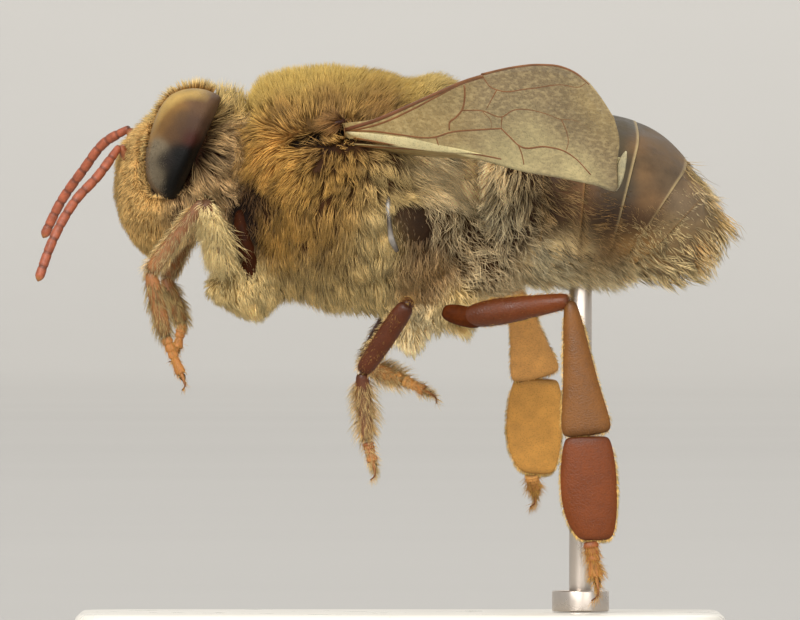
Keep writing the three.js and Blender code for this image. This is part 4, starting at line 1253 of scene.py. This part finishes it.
def make_leg(leg, joints, finish):
    """The four segments of a leg, with its claws."""
    kind = leg.split("_")[0]
    made = {}
    for number, segment in enumerate(SEGMENTS):
        start, end = joints[number], joints[number + 1]
        if segment == "tarsus":
            wide, deep = TOE_WIDTH[kind]
            hook = CLAW_SIZE[kind]
            end = tuple(np.array(end) - unit(np.array(end) - np.array(start)) * hook)
            rings = [(share, wide * full, deep * full) for share, full in TOE_JOINTS]
        else:
            rings = SEGMENT_RINGS[f"{kind}_{segment}"]
        limb = make_limb(f"{leg}_{segment}_shell", start, end, rings)
        part = f"{kind}_{segment}"
        # The far legs take the paler dyes, painted light.
        paint_limb(limb, *(FAR_LEG_LIT_DYES if leg.endswith("right") else LEG_DYES).get(part, LEG_DYES[part]))
        if segment == "tarsus":
            claws = make_claws(f"{leg}_claw", end, np.array(end) - np.array(start), hook)
            limb = join(f"{leg}_tarsus_shell", [limb] + claws)
        smooth(limb)
        made[segment] = settle(limb, finish, "leg", f"{leg}_{segment}")
    return made


# ---- coat ----


def triangles(piece):
    """The corners and corner normals of a settled piece's triangles, in millimetres."""
    mesh = piece.data
    mesh.calc_loop_triangles()
    index = np.empty(len(mesh.loop_triangles) * 3, dtype=np.int32)
    mesh.loop_triangles.foreach_get("vertices", index)
    index = index.reshape(-1, 3)
    return corners(piece)[index] / MM, facing(piece)[index]


def drift(points, size, rng):
    """A slow wave over the body, about one up and down, that keeps the coat from being even."""
    total = np.zeros(len(points))
    for _ in range(6):
        way = unit(rng.normal(size=3)) * 2 * math.pi / (size * rng.uniform(0.7, 1.4))
        total += np.sin(points @ way + rng.uniform(0, 2 * math.pi))
    return total / 6 ** 0.5


def plant(host, count, rng, full, patchy=0.35):
    """Root places spread over a piece, thicker where the coat is full, with the skin's normal there."""
    places, normals = triangles(host)
    area = 0.5 * np.linalg.norm(np.cross(places[:, 1] - places[:, 0], places[:, 2] - places[:, 0]), axis=1)
    middles = places.mean(axis=1)
    weight = area * np.clip(full(middles, unit(normals.mean(axis=1))), 0, None)
    weight *= (1 + patchy * drift(middles, 0.45, rng)).clip(0.15)
    chosen = rng.choice(len(places), size=count, p=weight / weight.sum())
    one, two = rng.random((2, count))
    fold = one + two > 1
    one = np.where(fold, 1 - one, one)[:, None]
    two = np.where(fold, 1 - two, two)[:, None]
    rest = 1 - one - two
    roots = places[chosen, 0] * rest + places[chosen, 1] * one + places[chosen, 2] * two
    out = normals[chosen, 0] * rest + normals[chosen, 1] * one + normals[chosen, 2] * two
    return roots, unit(out)


def gather(roots, cell, rng):
    """The number of the lock that each root belongs to, by small cells of the skin."""
    return np.unique(np.floor(roots / cell + rng.random(3)), axis=0, return_inverse=True)[1].ravel()


def hair_paths(roots, out, coat, lock, rng, steps, uneven):
    """Each hair's way: it leaves the skin at its lift, bends to its lie, curls and joins its lock."""
    count = len(roots)
    locks = lock.max() + 1
    lie = coat["lie"] - out * np.sum(coat["lie"] * out, axis=1, keepdims=True)
    beside = unit(np.cross(out, lie + 1e-6))
    ruffle = math.radians(RUFFLE)
    turn = rng.normal(0, ruffle, count) + rng.normal(0, ruffle * LOCK_RUFFLE, locks)[lock]
    turn += uneven * math.radians(TOUSLE) * drift(roots, 1.1, rng)
    lie = lie * np.cos(turn)[:, None] + beside * (np.sin(turn) * np.linalg.norm(lie, axis=1))[:, None]
    lift = coat["lift"] * rng.uniform(0.7, 1.3, count)
    stray = rng.random(count) < STRAY_SHARE
    gain, more, limit = STRAY_LIFT
    lift = np.where(stray, np.minimum(gain * lift + more, limit), lift)
    start = unit(lie * np.cos(lift)[:, None] + out * np.sin(lift)[:, None])
    end = unit(lie + out * (0.25 * np.sin(lift))[:, None])
    length = coat["length"] * rng.uniform(0.65, 1.15, count)
    length = length * (1 + 0.12 * uneven * drift(roots, 0.6, rng)).clip(0.6, 1.4)
    phase = rng.uniform(0, 2 * math.pi, count)
    path = []
    for step in steps:
        line = start * (step - BOW * step ** 2 / 2) + end * (BOW * step ** 2 / 2)
        wave = (coat["curl"] * CURL_WAVE * step * np.sin(phase + CURL_TURN * step))[:, None] * beside
        rise = (coat["curl"] * CURL_RISE * step * np.cos(phase + CURL_TURN * step))[:, None] * out
        path.append(roots - ROOT_SINK * out + length[:, None] * (line + wave + rise))
    path = np.array(path)
    many = np.bincount(lock, minlength=locks)[:, None]
    tips = np.column_stack([np.bincount(lock, path[-1][:, axis], locks) for axis in range(3)]) / many
    pull = coat["locks"][:, None] * (tips[lock] - path[-1])
    for number, step in enumerate(steps):
        path[number] += pull * step ** LOCK_POWER
    return path


def hair_rings(path, steps, out, half, rng):
    """The corners of each hair: a three-sided ring at every step of its path, and its tip."""
    aim = unit(path[-1] - path[0])
    first = unit(np.cross(aim, out + 1e-4))
    second = np.cross(aim, first)
    spin = rng.uniform(0, 2 * math.pi, len(out))
    rings = []
    for step, middle in zip(steps[:-1], path):
        thick = half * (1 - TAPER * step) * rng.uniform(0.8, 1.2, len(out))
        for corner in range(3):
            angle = spin + corner * 2 * math.pi / 3
            rings.append(middle + first * (thick * np.cos(angle))[:, None]
                         + second * (thick * np.sin(angle))[:, None])
    rings.append(path[-1])
    return np.stack(rings, axis=1)


def hair_faces(parts):
    """The triangles of one hair: its closed root, its sides and its point."""
    faces = [(2, 1, 0)]
    for low in range(0, 3 * (parts - 1), 3):
        for corner in range(3):
            after = (corner + 1) % 3
            faces.append((low + corner, low + after, low + 3 + corner))
            faces.append((low + after, low + 3 + after, low + 3 + corner))
    low = 3 * (parts - 1)
    for corner in range(3):
        faces.append((low + corner, low + (corner + 1) % 3, 3 * parts))
    return np.array(faces)


def hair_mesh(name, points, faces):
    """One mesh of many hairs, each with the same triangles."""
    count, each = points.shape[:2]
    index = (faces[None] + (np.arange(count) * each)[:, None, None]).reshape(-1, 3)
    mesh = bpy.data.meshes.new(name)
    mesh.vertices.add(count * each)
    mesh.vertices.foreach_set("co", points.astype(np.float32).ravel())
    mesh.loops.add(index.size)
    mesh.loops.foreach_set("vertex_index", index.astype(np.int32).ravel())
    mesh.polygons.add(len(index))
    mesh.polygons.foreach_set("loop_start", np.arange(0, index.size, 3, dtype=np.int32))
    mesh.polygons.foreach_set("use_smooth", np.ones(len(index), dtype=bool))
    mesh.update(calc_edges=True)
    return mesh


def hair_patches(mesh, spread, share, faces):
    """The bake map: each hair is one small patch at its root's place on the unwrap."""
    low, high = spread.min(axis=0), spread.max(axis=0)
    spread = PATCH + (1 - 2 * PATCH) * (spread - low) / np.maximum(high - low, 1e-9)
    across = np.append(np.tile([-0.5, 0.0, 0.5], (len(share) - 1) // 3), 0.0) * PATCH
    local = np.column_stack([across, (share - 0.5) * PATCH])
    uv = (spread[:, None] + local[None])[:, faces.ravel()].reshape(-1, 2)
    layer = mesh.uv_layers.new(name="OFBake")
    layer.data.foreach_set("uv", uv.astype(np.float32).ravel())


def comb(name, roots, out, coat, rng, finish, slot="coat", parts=2, half=0.012, cell=0.25,
         uneven=1.0, unwrap=None):
    """Hairs as one mesh, each a three-sided taper on its own path."""
    lock = gather(roots, cell, rng)
    steps = np.linspace(0, 1, parts + 1)
    path = hair_paths(roots, out, coat, lock, rng, steps, uneven)
    faces = hair_faces(parts)
    mesh = hair_mesh(name, hair_rings(path, steps, out, half, rng), faces)
    share = np.append(np.repeat(steps[:-1], 3), 1.0)
    single, shared = rng.standard_normal(len(roots)), rng.standard_normal(lock.max() + 1)[lock]
    shade = 1 + uneven * (0.24 * single + 0.2 * shared + 0.1 * drift(roots, 0.8, rng))
    # Each hair darkens from tip to root: partly the coat's own darker roots, partly painted shade deep in the
    # coat.
    fade = (share ** FADE_POWER)[None, :, None]
    tint = coat["root"][:, None] * (1 - fade) + coat["tip"][:, None] * fade
    tint = tint * np.clip(shade, *SHADE_LIMITS)[:, None, None]
    add_tint(mesh, tint.reshape(-1, 3))
    hair_patches(mesh, (unwrap or body_unwrap)(roots), share, faces)
    piece = bpy.data.objects.new(name, mesh)
    bpy.context.collection.objects.link(piece)
    return settle(piece, finish, slot)


def body_unwrap(points):
    """The body's own unwrap: along it, and round it from the belly line."""
    round_way = np.arctan2(points[:, 1], points[:, 2] - PLATE_HEIGHT) / (2 * math.pi) + 0.5
    return np.column_stack([points[:, 0], round_way])


def outside_eyes(points):
    """Nothing grows where an eye sits."""
    long_way, short_way = eye_frame()
    offset = points - EYE_CENTRE
    high = offset @ long_way / (EYE_HALF_LENGTH + 0.02)
    wide = offset @ short_way
    wide = np.where(wide < 0, wide / EYE_FRONT, wide / (EYE_REAR - 0.04))
    return (high ** 2 + wide ** 2 > 1.0) | (np.abs(points[:, 1]) > EYE_REACH)


def clothe(name, host, count, rng, finish, where, patchy=0.35, **settings):
    """Grows the mapped coat on a piece, over the part of it that where() picks."""
    def full(points, _):
        bared = (1 - WING_SLIT_BARING * slit_share(points)).clip(0)
        return coat_at(points)["fullness"] * where(points) * bared

    roots, out = plant(host, count, rng, full, patchy)
    return comb(name, roots, out, coat_at(roots), rng, finish, **settings)


def plain_coat(points, lie, length, lift, curl, locks, root, tip):
    """A coat that is the same all over, lying one way."""
    count = len(points)
    single = {"length": length, "lift": math.radians(lift), "curl": curl, "locks": locks}
    triple = {"lie": lie, "root": dye(root), "tip": dye(tip)}
    return {
        **{name: np.full(count, float(value)) for name, value in single.items()},
        **{name: np.tile(value, (count, 1)) for name, value in triple.items()},
    }


def crest_width(points):
    """How far the fringe reaches across an eye: wide on the face and behind it, narrow on the crown."""
    face = np.clip((14.35 - points[:, 2]) / 0.4, 0, 1)
    rear = np.clip((points[:, 0] + 5.6) / 0.4, 0, 1)
    return 0.27 + 0.8 * np.maximum(face, 0.3 * rear)


def low_on_eye(p, _):
    """The low front of an eye."""
    return (p[:, 2] < 13.9) & (p[:, 0] < -6.12) & (np.abs(p[:, 1]) > 1.1)


def under_eye(p, _):
    """The foot of an eye."""
    return (p[:, 2] < 12.75) & (np.abs(p[:, 1]) > 0.8) & (np.abs(p[:, 1]) < 1.5)


def before_eye(p, n):
    """The front edge of an eye and its crown."""
    ahead = ((p - EYE_CENTRE) @ eye_frame()[1] < -0.1) | (p[:, 2] > 15)
    return (np.abs(p[:, 1]) < crest_width(p)) & (np.abs(n[:, 1]) < 0.75) & (p[:, 0] < -4.92) & ahead


# Hair of the eyes: name, count, where, its plain coat, half width, size of a lock.
EYE_COATS = (
    ("pile", 1100, low_on_eye, ((-0.2, 0.0, -1.0), 0.1, 60, 0.1, 0.0, "eye dusk", "eye pile"), 0.004, 0.1),
    ("lashes", 260, under_eye, ((0.1, 0.0, -1.0), 0.3, 35, 0.1, 0.1, "eye black", "nape root"), 0.008, 0.1),
    ("fringe", 2600, before_eye, ((0.0, 0.0, -0.3), 0.32, 66, 0.05, 0.15, "golden root", "straw"), 0.009,
     0.12),
)


def make_eye_hair(eyes, finish):
    """Short pile low on each eye, dark lashes under it and a pale fringe all along its front edge."""
    rng = np.random.default_rng(5)
    for (side_name, _), eye in zip(SIDES, eyes):
        for part, count, where, look, half, cell in EYE_COATS:
            roots, out = plant(eye, count, rng, where)
            comb(f"eye_{part}_{side_name}", roots, out, plain_coat(roots, *look), rng, finish, slot="eye",
                 half=half, cell=cell)


def on_head(p):
    """The head behind and below the eyes."""
    return (p[:, 0] < HEAD_REAR) & (p[:, 2] > 10.6) & outside_eyes(p)


def on_face(p):
    """The face and the chin."""
    return on_head(p) & ((p[:, 0] < FACE_REAR) | (p[:, 2] < FACE_FOOT))


def on_nape(p):
    """The rear of the head."""
    return on_head(p) & (p[:, 0] >= FACE_REAR) & (p[:, 2] >= FACE_FOOT)


def on_crest(p):
    """The tuft on the crown."""
    return (p[:, 0] > -5.2) & (p[:, 0] < -3.9) & (p[:, 2] > 13.9) & outside_eyes(p)


def on_trunk(p):
    """The thorax."""
    return (p[:, 0] >= HEAD_REAR) & (p[:, 2] > KEEL_HEIGHT)


def on_back(p):
    """The top of the thorax."""
    return on_trunk(p) & (p[:, 2] > BACK_HEIGHT)


def on_left_flank(p):
    """The near side of the thorax."""
    return on_trunk(p) & (p[:, 2] <= BACK_HEIGHT) & (p[:, 1] < -FLANK_FROM)


def on_right_flank(p):
    """The far side of the thorax."""
    return on_trunk(p) & (p[:, 2] <= BACK_HEIGHT) & (p[:, 1] > FLANK_FROM)


def underneath(p):
    """The keel and the hips."""
    between_flanks = (np.abs(p[:, 1]) <= FLANK_FROM) & (p[:, 2] < 12)
    return (p[:, 0] > -3.4) & ((p[:, 2] <= KEEL_HEIGHT) | between_flanks)


def on_fore_coxae(p):
    """The front hips."""
    return (p[:, 0] < -3.2) & (p[:, 2] < 10.8)


def everywhere(p):
    """All of a piece."""
    return np.ones(len(p), dtype=bool)


# The coat on the skin: name, number of hairs, where, and how it grows.
SKIN_COATS = (
    ("face", 15000, on_face, {"half": 0.0095, "cell": 0.16, "uneven": 0.7}),
    ("nape", 5600, on_nape, {"half": 0.0148, "cell": 0.34, "parts": 3, "patchy": 0.5, "uneven": 1.3}),
    ("crest", 900, on_crest, {"half": 0.0125, "cell": 0.16, "parts": 3, "patchy": 0.0}),
    ("back", 17500, on_back, {"half": 0.0098, "cell": 0.16, "uneven": 0.45}),
    ("flank_left", 18500, on_left_flank, {"half": 0.0112, "cell": 0.26, "patchy": 0.75}),
    ("flank_right", 11000, on_right_flank, {"half": 0.0112, "cell": 0.26, "patchy": 0.75}),
    ("under", 6000, underneath, {"half": 0.011, "cell": 0.22}),
    ("fore_coxae", 6500, on_fore_coxae, {"half": 0.01, "cell": 0.2, "patchy": 0.1, "uneven": 0.5}),
)
SMOOTH_RING = {"half": 0.0095, "cell": 0.24, "parts": 2}
CURLY_RING = {"half": 0.014, "cell": 0.34, "parts": 3}
TEGULA_COAT = ((-1.0, 0.0, -0.12), 0.58, 16, 0.2, 0.3, "streak root", "bronze")


def make_coat(skin, plates, tegulae, finish):
    """The whole coat of head, thorax and abdomen, region by region."""
    rng = np.random.default_rng(7)
    for name, count, where, growth in SKIN_COATS:
        clothe(f"coat_{name}", skin, count, rng, finish, where, **growth)
    for number, (plate, count) in enumerate(zip(plates, RING_HAIRS)):
        growth = CURLY_RING if number in CURLY_RINGS else SMOOTH_RING
        clothe(f"coat_ring_{number + 1}", plate, count, rng, finish, everywhere, **growth,
               uneven=1.4 if number in RUFFLED_RINGS else 1.0)
    for (side_name, _), tegula in zip(SIDES, tegulae):
        roots, out = plant(tegula, 600, rng, lambda _, n: 0.2 + n[:, 2].clip(0))
        comb(f"coat_tegula_{side_name}", roots, out, plain_coat(roots, *TEGULA_COAT), rng, finish,
             half=0.009, cell=0.16)


# Hair of each leg segment: count, length, lift in degrees, curl, locks, root, tip.
LEG_COATS = {
    "front_femur": (2400, 0.5, 22, 0.1, 0.2, "cream", "cream"),
    "front_tibia": (900, 0.3, 24, 0.1, 0.2, "mauve leg", "cream"),
    "front_basitarsus": (1000, 0.42, 32, 0.1, 0.4, "flank root", "flank pale"),
    "front_tarsus": (300, 0.2, 38, 0.1, 0.1, "golden root", "golden"),
    "mid_femur": (700, 0.16, 22, 0.2, 0.1, "chestnut", "flank"),
    "mid_tibia": (600, 0.14, 20, 0.1, 0.0, "chestnut", "golden"),
    "mid_basitarsus": (900, 0.36, 32, 0.15, 0.3, "golden root", "cream"),
    "mid_tarsus": (500, 0.28, 42, 0.1, 0.1, "golden root", "cream"),
    "hind_femur": (600, 0.13, 20, 0.1, 0.0, "chestnut", "honey"),
    "hind_tibia": (1200, 0.11, 22, 0.1, 0.0, "russet", "amber"),
    "hind_basitarsus": (1700, 0.1, 22, 0.05, 0.1, "russet", "amber"),
    "hind_tarsus": (800, 0.32, 38, 0.1, 0.1, "golden root", "golden"),
}
LEG_FRINGES = {
    "front_tibia": (450, 0.4, 36, 0.1, 0.3, "golden root", "cream"),
    "mid_tibia": (260, 0.25, 45, 0.1, 0.1, "golden root", "cream"),
    "mid_basitarsus": (350, 0.5, 50, 0.1, 0.2, "golden root", "cream"),
    "hind_femur": (350, 0.15, 45, 0.1, 0.0, "golden root", "golden"),
    "hind_tibia": (1100, 0.15, 50, 0.1, 0.0, "golden", "straw"),
    "hind_basitarsus": (1500, 0.16, 52, 0.1, 0.1, "golden", "straw"),
}


def clothe_segment(name, segment, piece, start, run, rng, finish):
    """Grows the hair of one leg segment, and its longer fringe where it has one."""
    axis = unit(run)
    kind_segment = f"{name.split('_')[0]}_{segment}"
    lies = {"front_femur": np.array((0.05, 0.0, -1.0)), "front_tibia": unit(axis + (0.5, 0.0, -0.5))}
    lie = lies.get(kind_segment, axis)
    clear = 0.03 if segment == "tarsus" else 0.1

    def inner(p):
        return np.clip(((p - start) @ run / (run @ run) - clear) / 0.05, 0, 1)

    def all_round(p, n):
        return inner(p) * (1.2 + n @ lie).clip(0.2)

    def edges(p, n):
        return np.clip(1 - 1.5 * np.abs(n[:, 1]), 0, None) ** 2 * inner(p)

    def unwrap(p):
        return np.column_stack([p @ axis, np.arctan2(p[:, 1] - p[:, 1].mean(), p[:, 0] - p[:, 0].mean())])

    for part, coats, where, way, uneven in (("hair", LEG_COATS, all_round, lie, 0.6),
                                            ("fringe", LEG_FRINGES, edges, axis, 1.0)):
        if kind_segment in coats:
            count, *look = coats[kind_segment]
            roots, out = plant(piece, count, rng, where)
            comb(f"{part}_{name}_{segment}", roots, out, plain_coat(roots, way, *look), rng, finish,
                 slot="leg", half=0.006, cell=0.12, uneven=uneven, unwrap=unwrap)


def make_leg_coats(legs, finish):
    """Fine hair on every leg, laid towards the foot."""
    rng = np.random.default_rng(11)
    for leg, segments in legs.items():
        joints = np.array(LEGS[leg])
        for segment, start, end in zip(SEGMENTS, joints, joints[1:]):
            clothe_segment(leg, segment, segments[segment], start, end - start, rng, finish)


def make_hip_strands(legs, finish):
    """Long pale strands that hang from each front thigh across the bare hip."""
    rng = np.random.default_rng(13)

    def rear_half(p, n):
        return (n[:, 0] > 0.2) & (p[:, 2] < 12.0) & (p[:, 2] > 10.6)

    for side_name, _ in SIDES:
        roots, out = plant(legs[f"front_{side_name}"]["femur"], 70, rng, rear_half)
        coat = plain_coat(roots, (0.62, 0.0, -0.8), 1.0, 22, 0.5, 0.35, "cream root", "cream")
        comb(f"hip_strands_{side_name}", roots, out, coat, rng, finish, slot="leg", half=0.009, cell=0.3,
             parts=3)


# ---- stand ----


def soften(piece, width, segments, angle):
    """Rounds the sharp edges of a turned or cut piece."""
    apply(piece, "BEVEL", width=width, segments=segments, limit_method="ANGLE",
          angle_limit=math.radians(angle))
    take_up(piece)
    bpy.ops.object.shade_smooth_by_angle(angle=math.radians(35))


def pick(piece, kind, chosen):
    """Opens a piece for editing with only its chosen edges or faces selected."""
    bpy.ops.object.mode_set(mode="EDIT")
    bpy.ops.mesh.select_mode(type=kind)
    bpy.ops.mesh.select_all(action="DESELECT")
    bpy.ops.object.mode_set(mode="OBJECT")
    for part in piece.data.edges if kind == "EDGE" else piece.data.polygons:
        part.select = chosen(part)
    bpy.ops.object.mode_set(mode="EDIT")


def make_drum(name, sides, radius, foot, height):
    """An upright round bar at the rod's place."""
    set_down()
    bpy.ops.mesh.primitive_cylinder_add(vertices=sides, radius=radius, depth=height,
                                        location=(ROD_PLACE, 0, foot + height / 2))
    drum = named(name)
    bpy.ops.object.transform_apply(location=True, rotation=True, scale=True)
    return drum


def make_stand(finishes):
    """A white base board with rounded corners, a steel rod and a turned collar at its foot."""
    set_down()
    thick = BASE_SIZE[2]
    bpy.ops.mesh.primitive_cube_add(size=1, location=(0, 0, thick / 2), scale=BASE_SIZE)
    base = named("base_board")
    bpy.ops.object.transform_apply(location=True, rotation=True, scale=True)

    def upright(edge):
        ends = [base.data.vertices[number].co for number in edge.vertices]
        return abs(ends[0].z - ends[1].z) > thick / 2

    pick(base, "EDGE", upright)
    bpy.ops.mesh.bevel(offset=BASE_CORNER, segments=12, affect="EDGES")
    bpy.ops.object.mode_set(mode="OBJECT")
    soften(base, 0.18, 4, 50)
    settle(base, finishes["board"], "base", "stand_base")

    rod = make_drum("steel_rod", 40, ROD_RADIUS, thick, ROD_TOP - thick)
    soften(rod, 0.05, 3, 50)
    settle(rod, finishes["steel"], "steel", "stand_rod")

    collar = make_drum("steel_collar", 48, COLLAR_RADIUS, thick + 0.02, COLLAR_HEIGHT)
    pick(collar, "FACE", lambda face: face.normal.z > 0.9)
    bpy.ops.mesh.inset(thickness=0.12, depth=0.0)
    bpy.ops.mesh.inset(thickness=0.06, depth=-0.06)
    bpy.ops.object.mode_set(mode="OBJECT")
    soften(collar, 0.05, 3, 40)
    settle(collar, finishes["steel"], "steel", "stand_collar")


# ---- studio ----


def make_studio(finish):
    """A pale floor that sweeps up behind, soft lights and the camera level with the bee's left side."""
    set_down()
    bpy.ops.mesh.primitive_grid_add(x_subdivisions=4, y_subdivisions=60, size=2)
    floor = named("floor")
    flat = corners(floor)
    run = (flat[:, 1] + 1) / 2
    level = FLOOR_BACK - FLOOR_FRONT
    total = level + SWEEP_RADIUS * math.pi / 2 + SWEEP_HEIGHT
    way = run * total
    turn = np.clip((way - level) / SWEEP_RADIUS, 0, math.pi / 2)
    rise = np.clip(way - level - SWEEP_RADIUS * math.pi / 2, 0, None)
    points = np.column_stack([
        flat[:, 0] * FLOOR_HALF_WIDTH,
        FLOOR_FRONT + np.minimum(way, level) + SWEEP_RADIUS * np.sin(turn),
        SWEEP_RADIUS * (1 - np.cos(turn)) + rise,
    ])
    reshape(floor, points * MM)
    smooth(floor)
    floor.data.materials.append(finish)
    floor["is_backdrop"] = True

    world = bpy.data.worlds.new("studio")
    bpy.context.scene.world = world
    world.use_nodes = True
    sky = world.node_tree.nodes["Background"]
    sky.inputs["Color"].default_value = SKY_COLOUR
    sky.inputs["Strength"].default_value = SKY_STRENGTH
    for name, towards, strength, spread in LAMPS:
        lamp = bpy.data.lights.new(name, "SUN")
        lamp.energy = strength
        lamp.angle = math.radians(spread)
        lamp.color = LAMP_COLOUR
        holder = bpy.data.objects.new(name, lamp)
        holder.rotation_euler = Vector(towards).to_track_quat("Z", "Y").to_euler()
        bpy.context.collection.objects.link(holder)

    camera = bpy.data.cameras.new("camera")
    camera.sensor_width = SENSOR
    camera.lens = SENSOR * VIEW_DISTANCE / VIEW_WIDTH
    camera.clip_start = 0.01
    camera.clip_end = 20.0
    holder = bpy.data.objects.new("camera", camera)
    holder.location = (VIEW_CENTRE[0] * MM, -VIEW_DISTANCE * MM, VIEW_CENTRE[1] * MM)
    holder.rotation_euler = (math.pi / 2, 0, 0)
    bpy.context.collection.objects.link(holder)
    bpy.context.scene.camera = holder
    bpy.context.scene.view_settings.view_transform = "Standard"


# ---- the bee ----

# Tints of the wings, in each wing's own plane: u, v, spread, dye.
FOREWING_TINTS = (
    (1.5, 0.0, 1.0, "membrane tan"), (3.5, -0.3, 1.0, "membrane"),
    (6.5, -0.4, 1.2, "membrane grey"), (8.5, 0.2, 1.0, "membrane grey"),
    (9.8, -0.4, 0.5, "membrane tan"), (8.3, 1.2, 0.45, "membrane pale"),
    (6.0, 0.9, 0.6, "membrane pale"), (5.0, -1.3, 0.3, "membrane"),
    (7.2, 0.3, 0.5, "membrane pale"), (0.7, 0.2, 0.14, "fold cream"),
    (1.5, 0.32, 0.15, "fold cream"), (2.3, 0.4, 0.16, "fold cream"),
    (3.2, 0.5, 0.18, "membrane pale"), (4.3, 0.75, 0.2, "membrane pale"),
)
HINDWING_TINTS = (
    (1.5, 0.2, 1.0, "membrane tan"), (4.0, 0.3, 0.8, "membrane tan"), (5.0, 1.4, 0.8, "membrane"),
    (7.8, 0.8, 0.8, "membrane pale"),
)


def make_bee():
    """The bee and its stand, from the frame."""
    frame_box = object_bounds()
    finishes = make_finishes()
    make_studio(finishes["floor"])
    make_stand(finishes)

    skin = make_skin(finishes["skin"])
    eyes, tegulae = [], []
    for side_name, side in SIDES:
        eyes.append(make_eye(side_name, side, finishes["eye"]))
        make_antenna(side_name, side, finishes["feeler"])
        tegulae.append(make_dome(f"tegula_shell_{side_name}", (-1.66, side * 2.42, 14.36),
                                 (0.24, 0.18, 0.1), 14, finishes["horn"], "wing", "bare hip",
                                 f"tegula_{side_name}"))
        make_wing_fold(side_name, side, finishes["membrane"])
        make_wing_tip(side_name, side, finishes["membrane"])
        wings = (("forewing", FOREWING, FOREWING_TINTS), ("hindwing", HINDWING, HINDWING_TINTS))
        for name, plan, tints in wings:
            make_wing(f"{name}_skin_{side_name}", plan, side, tints, finishes["membrane"],
                      f"{name}_{side_name}")
        for name, plan, _ in wings:
            make_veins(f"{name}_veins_{side_name}", plan, side, finishes["vein"])
        make_side_ridge(side_name, side, finishes["glass"])
    plates = [make_plate(index, finishes["shell"]) for index in range(len(RING_HAIRS))]
    for kind in TROCHANTERS:
        for side_name, side in SIDES:
            make_trochanter(kind, side_name, side, finishes["hide"])
    legs = {leg: make_leg(leg, joints, finishes["horn"]) for leg, joints in LEGS.items()}

    make_coat(skin, plates, tegulae, finishes["hair"])
    make_eye_hair(eyes, finishes["hair"])
    make_leg_coats(legs, finishes["hair"])
    make_hip_strands(legs, finishes["hair"])
    return frame_box


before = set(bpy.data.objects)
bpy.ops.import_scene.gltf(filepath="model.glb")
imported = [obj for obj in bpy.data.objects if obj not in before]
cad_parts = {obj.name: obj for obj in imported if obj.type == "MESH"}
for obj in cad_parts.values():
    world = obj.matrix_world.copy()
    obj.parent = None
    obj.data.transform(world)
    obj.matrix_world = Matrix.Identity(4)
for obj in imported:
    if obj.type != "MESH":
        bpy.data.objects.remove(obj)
cad_box = make_bee()
